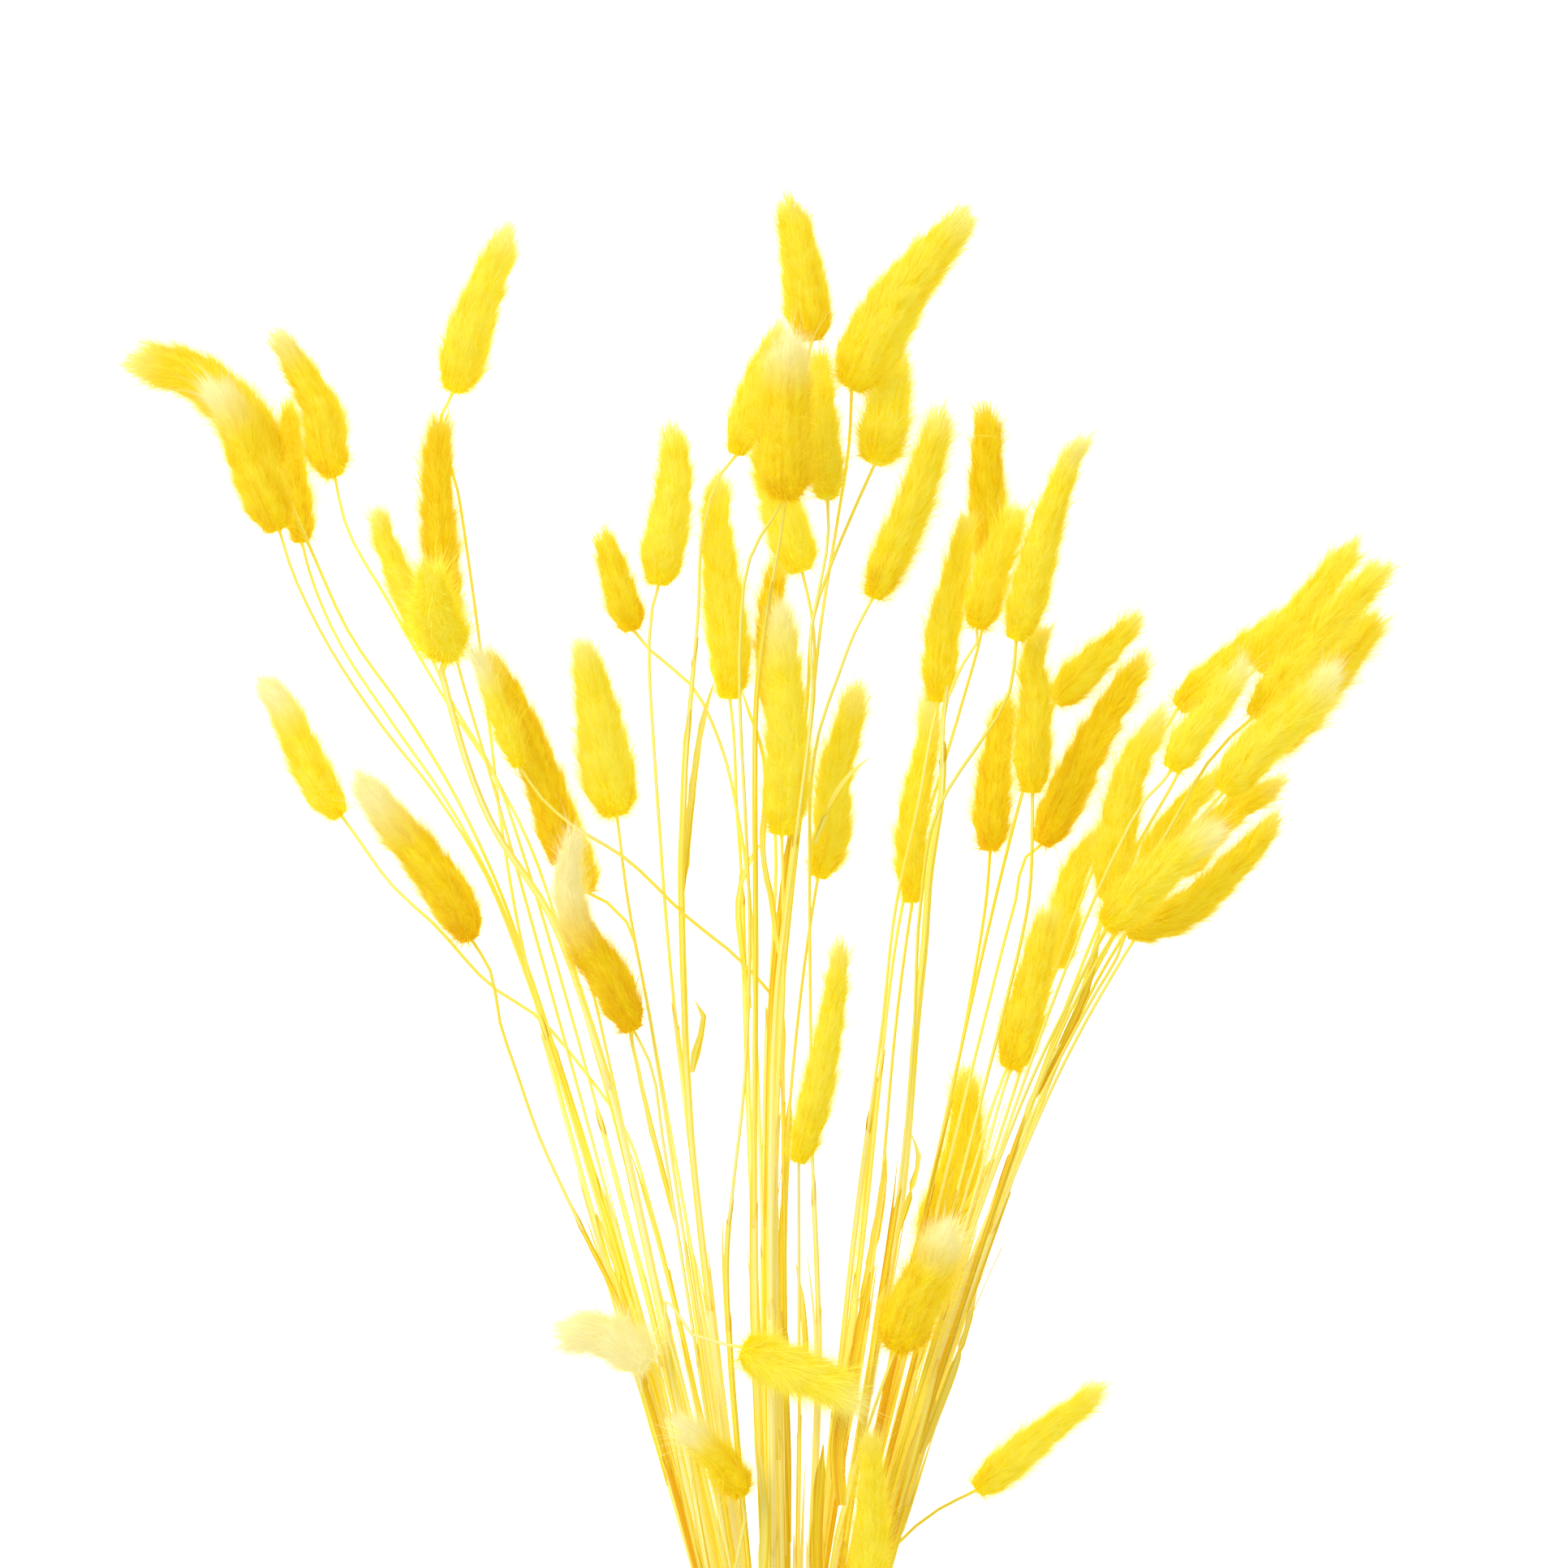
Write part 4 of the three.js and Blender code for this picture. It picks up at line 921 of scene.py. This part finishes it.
fur, tree, shader = finish_named("dyed_fur", {
    "Sheen Weight": 0.05,
    "Sheen Roughness": 0.4,
    "Sheen Tint": SHEEN_TINT,
    "Specular IOR Level": 0.1,
    "Emission Strength": FUR_GLOW,
})
streaks = fibres_in(tree, FUR_FIBRES)
dye = reading(tree, "dye")
end = reading(tree, "end")
tone = maths(tree, "ADD", swing(tree, reading(tree, "tone"), TONE_STRENGTH), dye)
tone = maths(tree, "ADD", tone, maths(tree, "MULTIPLY", streaks["Broad"], BROAD_STREAKS))
tone = maths(tree, "ADD", tone, swing(tree, streaks["Fine"], FINE_STREAKS))
# Hair ends painted paler: painted light that shines through them.
tone = maths(tree, "SUBTRACT", tone, maths(tree, "MULTIPLY", end, PAINTED_LIGHT_AT_ENDS), clamp=True)
dyed = hues_along(tree, tone, FUR_HUES)
undyed_from = maths(tree, "SUBTRACT", CREAM_FROM, reading(tree, "pale"))
undyed_and_painted_cream = maths(tree, "SUBTRACT", reading(tree, "along"), undyed_from)
undyed_and_painted_cream = maths(tree, "MULTIPLY", undyed_and_painted_cream, CREAM_EDGE, clamp=True)
undyed_and_painted_cream = maths(tree, "MULTIPLY", undyed_and_painted_cream, MOST_CREAM)
# Hair ends painted creamier, more so on lightly dyed heads: painted light that shines through them. The sum
# below holds both the cream of the tip that took no dye and this painted cream.
painted_end_cream = maths(tree, "MULTIPLY", maths(tree, "MULTIPLY", end, end), PAINTED_CREAM_AT_ENDS)
painted_end_cream = maths(tree, "MULTIPLY", painted_end_cream, maths(tree, "SUBTRACT", LIGHT_DYE_PAINTED_CREAM, dye))
undyed_and_painted_cream = maths(tree, "ADD", undyed_and_painted_cream, painted_end_cream, clamp=True)
colour = mixed(tree, undyed_and_painted_cream, dyed, CREAM)
golden = maths(tree, "MULTIPLY", maths(tree, "SUBTRACT", 1.0, undyed_and_painted_cream), GOLDEN_GLOW)
put(tree, shader.inputs["Base Color"], colour)
put(tree, shader.inputs["Emission Color"], mixed(tree, golden, colour, GOLD))
vary_roughness(tree, shader, FUR_ROUGHNESS, streaks["Fine"])
print("fur finish:", len(tree.nodes), "nodes")

# %% [markdown]
# Straw has fine ribs along it, which catch the light, and its colour changes from stem to stem. Where a
# sheath is torn or a leaf has dried out, it is brownish. Ribs in the mesh would take far too many faces,
# so the same fibres draw them, in the colour and as a small relief. The glow stands for the light inside
# the straw.

# %% The straw's finish
STRAW_HUES = (
    (0.0, (0.92, 0.88, 0.46, 1.0)),
    (0.22, (0.91, 0.83, 0.21, 1.0)),
    (0.42, (0.89, 0.75, 0.050, 1.0)),
    (0.62, (0.76, 0.56, 0.023, 1.0)),
    (0.8, (0.72, 0.43, 0.010, 1.0)),
    (1.0, (0.74, 0.34, 0.006, 1.0)),
)
STRAW_BROWN = (0.62, 0.44, 0.03, 1.0)
STRAW_GLOW_GOLD = (0.95, 0.62, 0.002, 1.0)
STRAW_GLOW = 0.18
STRAW_SHINE = 0.22
STRAW_ROUGHNESS = (0.4, 0.3)
STRAW_FIBRES = (5000.0, 30.0)
BROAD_RIBS = 1.5
FINE_RIBS = 1.1
LEAST_BROWN = 0.1
GLOW_GOLD_SHARE = 0.5
RIB_RELIEF = (0.6, 0.15 * MM)


def give_relief(tree, shader, size, height):
    """A small relief, of a strength and a depth."""
    sockets = {"Strength": size[0], "Distance": size[1], "Height": height}
    put(tree, shader.inputs["Normal"], add_node(tree, "ShaderNodeBump", sockets)[0])


straw_finish, tree, shader = finish_named("dyed_straw", {
    "Specular IOR Level": STRAW_SHINE,
    "Emission Strength": STRAW_GLOW,
})
ribs = fibres_in(tree, STRAW_FIBRES)
shade = maths(tree, "ADD", swing(tree, ribs["Broad"], BROAD_RIBS), swing(tree, ribs["Fine"], FINE_RIBS))
shade = maths(tree, "ADD", shade, reading(tree, "straw"), clamp=True)
brown_ribs = maths(tree, "ADD", ribs["Broad"], LEAST_BROWN)
worn = maths(tree, "MULTIPLY", reading(tree, "worn"), brown_ribs, clamp=True)
colour = mixed(tree, worn, hues_along(tree, shade, STRAW_HUES), STRAW_BROWN)
put(tree, shader.inputs["Base Color"], colour)
# The glow is painted light inside the straw. It is half the straw's colour and half deep gold, which shows
# most on the shaded sides.
put(tree, shader.inputs["Emission Color"], mixed(tree, GLOW_GOLD_SHARE, colour, STRAW_GLOW_GOLD))
vary_roughness(tree, shader, STRAW_ROUGHNESS, ribs["Fine"])
give_relief(tree, shader, RIB_RELIEF, ribs["Fine"])
print("straw finish:", len(tree.nodes), "nodes")

# %% [markdown]
# The fur is what makes the grass a bunny tail. Three kinds of hair grow on each head: dense plush that
# lies close, longer down that stands off a little, and a few hundred long, bent awns that blur the
# outline. Blender has hair curves for this, but the export keeps only meshes, so each hair is a sliver of
# one or three triangles. Geometry Nodes scatter them over the body, turn each along the flow, and tilt it
# by its lift. All three kinds use one group of nodes.

# %% The hairs
def hair_shape(name, points, faces):
    """A single hair that is 1 long in Z and 1 wide in X, and faces +Y; its value "end" is 0 at the root."""
    mesh = bpy.data.meshes.new(name)
    mesh.from_pydata(points, [], faces)
    mesh.attributes.new("end", "FLOAT", "POINT").data.foreach_set("value", [point[2] for point in points])
    return into_scene(name, mesh)


short_hair = hair_shape("short_hair", [(-0.5, 0, 0), (0.5, 0, 0), (0, 0, 1)], [(1, 0, 2)])
long_awn = hair_shape(
    "long_awn",
    [(-0.5, 0, 0), (0.5, 0, 0), (0.4, 0.06, 0.5), (-0.4, 0.06, 0.5), (0, 0.24, 1)],
    [(1, 0, 3), (1, 3, 2), (2, 3, 4)],
)
print("faces of a hair and an awn:", len(short_hair.data.polygons), len(long_awn.data.polygons))

# %% One layer of hair
CLUMP_SCALE = 280.0
TUFT_SCALE = 240.0
TUFT_STRENGTH = 2.6
TUFT_LIMITS = (0.5, 1.45)
LIFTS = (0.35, 1.65)
LENGTHS = (0.55, 1.2)
TINTS = (-0.55, 0.55)
MIDDLE = (0.5, 0.5, 0.5)
ALL_WAYS = ((-1, -1, -1), (1, 1, 1))
LAYER_SIZES = ("Density", "Length", "Width", "Lift", "Spread", "Clumping")


def scaled(tree, vector, factor):
    return add_node(tree, "ShaderNodeVectorMath", {0: vector, "Scale": factor}, operation="SCALE")[0]


def named(tree, name, kind="FLOAT"):
    """A value that the mesh carries, by its name."""
    return add_node(tree, "GeometryNodeInputNamedAttribute", {"Name": name}, data_type=kind)[0]


def stored(tree, shape, name, value, kind="FLOAT"):
    """The shape, with a value written on it under a name."""
    sockets = {"Geometry": shape, "Name": name, "Value": value}
    return add_node(tree, "GeometryNodeStoreNamedAttribute", sockets, data_type=kind)[0]


def layer_group():
    """Scatters one kind of hair over the fur of a body."""
    inputs = {"Body": "Geometry", "Hair": "Object", "Seed": "Int", **dict.fromkeys(LAYER_SIZES, "Float")}
    tree, given, leave = new_tree("hair_layer", "GeometryNodeTree", inputs, {"Hairs": "Geometry"})

    def by_chance(turn, limits, kind="FLOAT"):
        """A value for each hair between two limits; every turn has a seed of its own."""
        first, output = (0, 0) if kind == "FLOAT_VECTOR" else (2, 1)
        seed = maths(tree, "ADD", given["Seed"], float(turn))
        sockets = {first: limits[0], first + 1: limits[1], "Seed": seed}
        return add_node(tree, "FunctionNodeRandomValue", sockets, data_type=kind)[output]

    scatter = add_node(tree, "GeometryNodeDistributePointsOnFaces", {
        "Mesh": given["Body"],
        "Selection": named(tree, "furry", "BOOLEAN"),
        "Density": maths(tree, "MULTIPLY", given["Density"], named(tree, "fur_density")),
        "Seed": given["Seed"],
    })

    lift = maths(tree, "ADD", named(tree, "fur_lift"), given["Lift"])
    lift = maths(tree, "MULTIPLY", lift, by_chance(1, LIFTS))
    stray = by_chance(2, ALL_WAYS, "FLOAT_VECTOR")
    clumps = add_node(tree, "ShaderNodeTexNoise", {"Scale": CLUMP_SCALE, "Detail": 1.0})
    bend = vectors(tree, "SUBTRACT", clumps["Color"], MIDDLE)
    way = scaled(tree, named(tree, "flow", "FLOAT_VECTOR"), maths(tree, "COSINE", lift))
    for vector, factor in (
        (scatter["Normal"], maths(tree, "SINE", lift)),
        (stray, given["Spread"]),
        (bend, given["Clumping"]),
    ):
        way = vectors(tree, "ADD", way, scaled(tree, vector, factor))

    along = add_node(tree, "FunctionNodeAlignRotationToVector", {"Vector": way}, axis="Z")
    outward = vectors(tree, "ADD", scatter["Normal"], scaled(tree, stray, given["Lift"]))
    turning = {"Rotation": along[0], "Vector": outward}
    facing = add_node(tree, "FunctionNodeAlignRotationToVector", turning, axis="Y", pivot_axis="Z")

    tufts = add_node(tree, "ShaderNodeTexNoise", {"Scale": TUFT_SCALE, "Detail": 0.0})
    tufted = maths(tree, "ADD", swing(tree, tufts[0], TUFT_STRENGTH), 1.0)
    tufted = maths(tree, "MINIMUM", maths(tree, "MAXIMUM", tufted, TUFT_LIMITS[0]), TUFT_LIMITS[1])
    length = maths(tree, "MULTIPLY", named(tree, "fur_length"), given["Length"])
    length = maths(tree, "MULTIPLY", length, by_chance(3, LENGTHS))
    length = maths(tree, "MULTIPLY", length, tufted)
    size = add_node(tree, "ShaderNodeCombineXYZ", {"X": given["Width"], "Y": length, "Z": length})

    tint = maths(tree, "ADD", named(tree, "tone"), by_chance(4, TINTS))
    points = stored(tree, scatter["Points"], "tone", tint)
    points = stored(tree, points, "hair", True, "BOOLEAN")
    shape = add_node(tree, "GeometryNodeObjectInfo", {"Object": given["Hair"]})
    place = add_node(tree, "GeometryNodeInstanceOnPoints", {
        "Points": points,
        "Instance": shape["Geometry"],
        "Rotation": facing[0],
        "Scale": size[0],
    })
    put(tree, leave["Hairs"], place[0])
    return tree


hair_layer = layer_group()
print("hair layer:", len(hair_layer.nodes), "nodes")

# %% [markdown]
# The tree for a whole flower grows the three layers on its body and joins them with it. The three could
# also be three objects, but then every flower would be in four parts. Each layer's hair, density, width
# and so on are inputs of the tree, so one tree serves all the flowers. It ends in real faces with their
# finish.

# %% The tree that makes a flower
LAYERS = {
    "Plush": {
        "Hair": short_hair, "Density": 5.4e6, "Length": 1.0, "Width": 0.2 * MM, "Lift": 0.0, "Spread": 0.12,
        "Clumping": 0.9,
    },
    "Down": {
        "Hair": short_hair, "Density": 2.8e6, "Length": 1.15, "Width": 0.17 * MM, "Lift": 0.4, "Spread": 0.4,
        "Clumping": 0.6,
    },
    "Awn": {
        "Hair": long_awn, "Density": 4.0e5, "Length": 1.9, "Width": 0.18 * MM, "Lift": 0.28, "Spread": 0.3,
        "Clumping": 1.0,
    },
}
SEED_STEP = 100.0


def joined(tree, shapes):
    node = tree.nodes.new("GeometryNodeJoinGeometry")
    for shape in shapes:
        put(tree, node.inputs[0], shape)
    return node.outputs[0]


def made_real(tree, shape, finish, where=True):
    """The shape with real faces in place of instances, and with a finish where the value says so."""
    real = add_node(tree, "GeometryNodeRealizeInstances", {0: shape})[0]
    return add_node(tree, "GeometryNodeSetMaterial", {0: real, "Selection": where, "Material": finish})[0]


layer_inputs = {
    f"{layer} {label.lower()}": "Object" if label == "Hair" else "Float"
    for layer, values in LAYERS.items() for label in values
}
flower_tree, given, leave = new_tree(
    "bunny_tail",
    "GeometryNodeTree",
    {"Body": "Geometry", "Seed": "Int", "Fur finish": "Material", **layer_inputs},
    {"Flower": "Geometry"},
)
shapes = [given["Body"]]
for turn, (layer, values) in enumerate(LAYERS.items()):
    sockets = {label: given[f"{layer} {label.lower()}"] for label in values}
    sockets["Body"] = given["Body"]
    sockets["Seed"] = maths(flower_tree, "ADD", given["Seed"], SEED_STEP * turn)
    shapes.append(add_node(flower_tree, "GeometryNodeGroup", sockets, node_tree=hair_layer)[0])
is_hair = named(flower_tree, "hair", "BOOLEAN")
flower_shape = made_real(flower_tree, joined(flower_tree, shapes), given["Fur finish"], is_hair)
put(flower_tree, leave["Flower"], flower_shape)
print("inputs:", ", ".join(item.name for item in flower_tree.interface.items_tree))

# %% [markdown]
# A tree works anew each time that its object is looked at, and the model that is handed on needs plain
# meshes. Applying the modifier would do, but it needs the object to be selected. So the result is copied
# into a mesh of its own, and the modifier is taken off. No point of it may lie under the table.

# %% From a tree to a plain mesh
def plain_mesh(thing, tree, settings, lowest):
    """The mesh that a tree makes of an object, with nothing under the table."""
    maker = thing.modifiers.new("maker", "NODES")
    maker.node_group = tree
    for item in tree.interface.items_tree:
        if item.name in settings:
            maker[item.identifier] = settings[item.name]
    bpy.context.view_layer.update()
    mesh = bpy.data.meshes.new_from_object(thing.evaluated_get(bpy.context.evaluated_depsgraph_get()))
    thing.modifiers.clear()
    points = np.empty(len(mesh.vertices) * 3, dtype=np.float32)
    mesh.vertices.foreach_get("co", points)
    points[2::3] = np.maximum(points[2::3], lowest)
    mesh.vertices.foreach_set("co", points)
    mesh.update()
    return mesh


def triangles_in(mesh):
    return sum(len(face.vertices) - 2 for face in mesh.polygons)


print("ready to make plain meshes")

# %% Growing the fur and making each flower a plain mesh
WORKING_VALUES = ("flow", "fur_length", "fur_lift", "fur_density", "furry", "hair")
SEEDS_APART = 7


def grow(name, skin):
    """One flower as a plain mesh: the skin with its hairs."""
    number = int(name[-2:])
    body = skin.mesh(name + "_body")
    body.materials.append(straw_finish)
    body.materials.append(fur)
    furry = body.attributes.new("furry", "BOOLEAN", "FACE")
    furry.data.foreach_set("value", [finish == FUR for finish in skin.finishes])
    flower = into_scene(name + "_flower", body)
    settings = {"Seed": number * SEEDS_APART, "Fur finish": fur}
    for layer, values in LAYERS.items():
        settings.update({f"{layer} {label.lower()}": value for label, value in values.items()})
        settings[f"{layer} clumping"] *= CURLY.get(number, 1.0)
    mesh = plain_mesh(flower, flower_tree, settings, LOWEST)
    flower.data = mesh
    bpy.data.meshes.remove(body)
    mesh.name = name + "_flower"
    for value in WORKING_VALUES:
        if value in mesh.attributes:
            mesh.attributes.remove(mesh.attributes[value])
    return flower


triangles = 0
for name in flowers:
    flower = grow(name, bodies[name])
    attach(flower, "root")
    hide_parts(name)
    triangles += triangles_in(flower.data)
for hair in (short_hair, long_awn):
    bpy.data.objects.remove(hair)
print("flowers made:", len(flowers), "triangles:", triangles)

# %% [markdown]
# A length of brown jute twine holds the bunch together: three turns side by side round the neck of the
# stems, and a small overhand knot on top with two short ends. The path is written as a rule for each
# part, which is easier to change than a long list of points. A tree of Geometry Nodes then lays three
# thin strands along it that wind round each other, as real twine is spun.

# %% The path of the twine
NECK_CENTRE = (*tie_middle, 13.2 * MM)
TWINE_THICKNESS = 2.4 * MM
TURNS = 3
TURN_RADIUS = (tie_box[1][0] - tie_box[0][0]) / 2 - TWINE_THICKNESS / 2
TURN_POINTS = 40
TURN_SPACING = 1.25
KNOT_SIZE = 1.25 * MM
KNOT_HEIGHT = 1.1
KNOT_POINTS = 30
KNOT_OPENING = 0.55
LEFT_END = ((-16, 9, -2.2), (-11, 8, 0.8))
RIGHT_END = ((11, 7, 0.4), (16, 11, -3.0))
CURVE_ORDER = 4
CURVE_STEPS = 4


def turns_path():
    """Three turns round the neck, side by side, that begin and end on top."""
    centre = Vector(NECK_CENTRE)
    for step in range(TURNS * TURN_POINTS + 1):
        angle = math.pi / 2 + 2 * math.pi * step / TURN_POINTS
        along = (step / TURN_POINTS - TURNS / 2) * TWINE_THICKNESS * (1 - 1 / TURNS) * TURN_SPACING
        yield centre + Vector((math.cos(angle) * TURN_RADIUS, along, math.sin(angle) * TURN_RADIUS))


def knot_path():
    """An overhand knot that lies on the turns, with an end to each side."""
    centre = Vector(NECK_CENTRE) + Vector((0, 0, TURN_RADIUS + TWINE_THICKNESS * KNOT_HEIGHT))
    for spot in LEFT_END:
        yield centre + Vector(spot) * MM
    for step in range(KNOT_POINTS + 1):
        angle = KNOT_OPENING + (2 * math.pi - 2 * KNOT_OPENING) * step / KNOT_POINTS
        wide = math.sin(angle) + 2 * math.sin(2 * angle)
        long = math.cos(angle) - 2 * math.cos(2 * angle)
        yield centre + Vector((-wide, -long, -math.sin(3 * angle))) * KNOT_SIZE
    for spot in RIGHT_END:
        yield centre + Vector(spot) * MM


def curve_of(name, parts):
    curve = bpy.data.curves.new(name, "CURVE")
    curve.dimensions = "3D"
    for part in parts:
        points = list(part)
        spline = curve.splines.new("NURBS")
        spline.points.add(len(points) - 1)
        for point, spot in zip(spline.points, points):
            point.co = (*spot, 1.0)
        spline.use_endpoint_u = True
        spline.order_u = CURVE_ORDER
        spline.resolution_u = CURVE_STEPS
    return into_scene(name, curve)


twine_path = curve_of("twine_path", [turns_path(), knot_path()])
print("turn radius:", round(TURN_RADIUS / MM, 2), "mm")

# %% The tree that spins twine along a path
STRANDS = 3
STRAND_SIDES = 7
STRAND_RADIUS = 0.27
STRAND_PLACE = 0.25
TWINE_STEP = 1.1 * MM


def spinning_tree():
    """Strands that wind round a path and carry their grain: the place round them and the length along."""
    tree, given, leave = new_tree(
        "spun_twine",
        "GeometryNodeTree",
        {"Path": "Geometry", "Thickness": "Float", "Lay": "Float", "Finish": "Material"},
        {"Twine": "Geometry"},
    )
    stepping = {"Curve": given["Path"], "Length": TWINE_STEP}
    even = add_node(tree, "GeometryNodeResampleCurve", stepping, mode="LENGTH")[0]
    length = add_node(tree, "GeometryNodeSplineParameter")["Length"]
    normal = add_node(tree, "GeometryNodeInputNormal")[0]
    sideways = vectors(tree, "CROSS_PRODUCT", add_node(tree, "GeometryNodeInputTangent")[0], normal)
    radius = maths(tree, "MULTIPLY", given["Thickness"], STRAND_RADIUS)
    rounding = {"Resolution": STRAND_SIDES, "Radius": radius}
    circle = add_node(tree, "GeometryNodeCurvePrimitiveCircle", rounding)["Curve"]
    position = add_node(tree, "GeometryNodeInputPosition")[0]
    profile = stored(tree, circle, "around", position, "FLOAT_VECTOR")
    strands = []
    for strand in range(STRANDS):
        turn = maths(tree, "ADD", maths(tree, "DIVIDE", length, given["Lay"]), strand / STRANDS)
        turn = maths(tree, "MULTIPLY", turn, 2 * math.pi)
        offsets = []
        for vector, operation in ((normal, "COSINE"), (sideways, "SINE")):
            reach = maths(tree, "MULTIPLY", maths(tree, operation, turn), given["Thickness"])
            offsets.append(scaled(tree, vector, maths(tree, "MULTIPLY", reach, STRAND_PLACE)))
        offset = vectors(tree, "ADD", *offsets)
        moved = add_node(tree, "GeometryNodeSetPosition", {"Geometry": even, "Offset": offset})[0]
        path = stored(tree, moved, "length", length)
        laying = {"Curve": path, "Profile Curve": profile, "Fill Caps": True}
        strands.append(add_node(tree, "GeometryNodeCurveToMesh", laying)[0])
    around = add_node(tree, "ShaderNodeSeparateXYZ", {0: named(tree, "around", "FLOAT_VECTOR")})
    grain = add_node(tree, "ShaderNodeCombineXYZ", {0: around[0], 1: around[1], 2: named(tree, "length")})
    twine = stored(tree, joined(tree, strands), "grain", grain[0], "FLOAT_VECTOR")
    put(tree, leave["Twine"], made_real(tree, twine, given["Finish"]))
    return tree


twine_tree = spinning_tree()
print("twine tree:", len(twine_tree.nodes), "nodes")

# %% [markdown]
# Jute is dull and a little hairy, and its fibres run along each strand. The strands carry the same kind
# of grain as the straw, so the same group draws them, only more broken along their length.

# %% The twine's finish
JUTE = (0.46, 0.29, 0.14, 1.0)
JUTE_PALE = (0.68, 0.50, 0.29, 1.0)
JUTE_ROUGHNESS = (0.7, 0.2)
JUTE_FIBRES = (3000.0, 350.0)
JUTE_RELIEF = (0.8, 0.2 * MM)

jute, tree, shader = finish_named("jute", {"Specular IOR Level": 0.2, "Sheen Weight": 0.3})
spun = fibres_in(tree, JUTE_FIBRES)
put(tree, shader.inputs["Base Color"], mixed(tree, spun["Fine"], JUTE, JUTE_PALE))
vary_roughness(tree, shader, JUTE_ROUGHNESS, spun["Broad"])
give_relief(tree, shader, JUTE_RELIEF, spun["Fine"])
print("jute finish:", len(tree.nodes), "nodes")

# %% The tie as a plain mesh
TWINE_LAY = 8.0 * MM

tie_settings = {"Thickness": TWINE_THICKNESS, "Lay": TWINE_LAY, "Finish": jute}
tie_mesh = plain_mesh(twine_path, twine_tree, tie_settings, 0.0)
bpy.data.objects.remove(twine_path)
for value in ("around", "length"):
    tie_mesh.attributes.remove(tie_mesh.attributes[value])
tie = into_scene("jute_tie", tie_mesh)
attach(tie, "root")
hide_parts("twine_tie")
print("tie triangles:", triangles_in(tie_mesh))
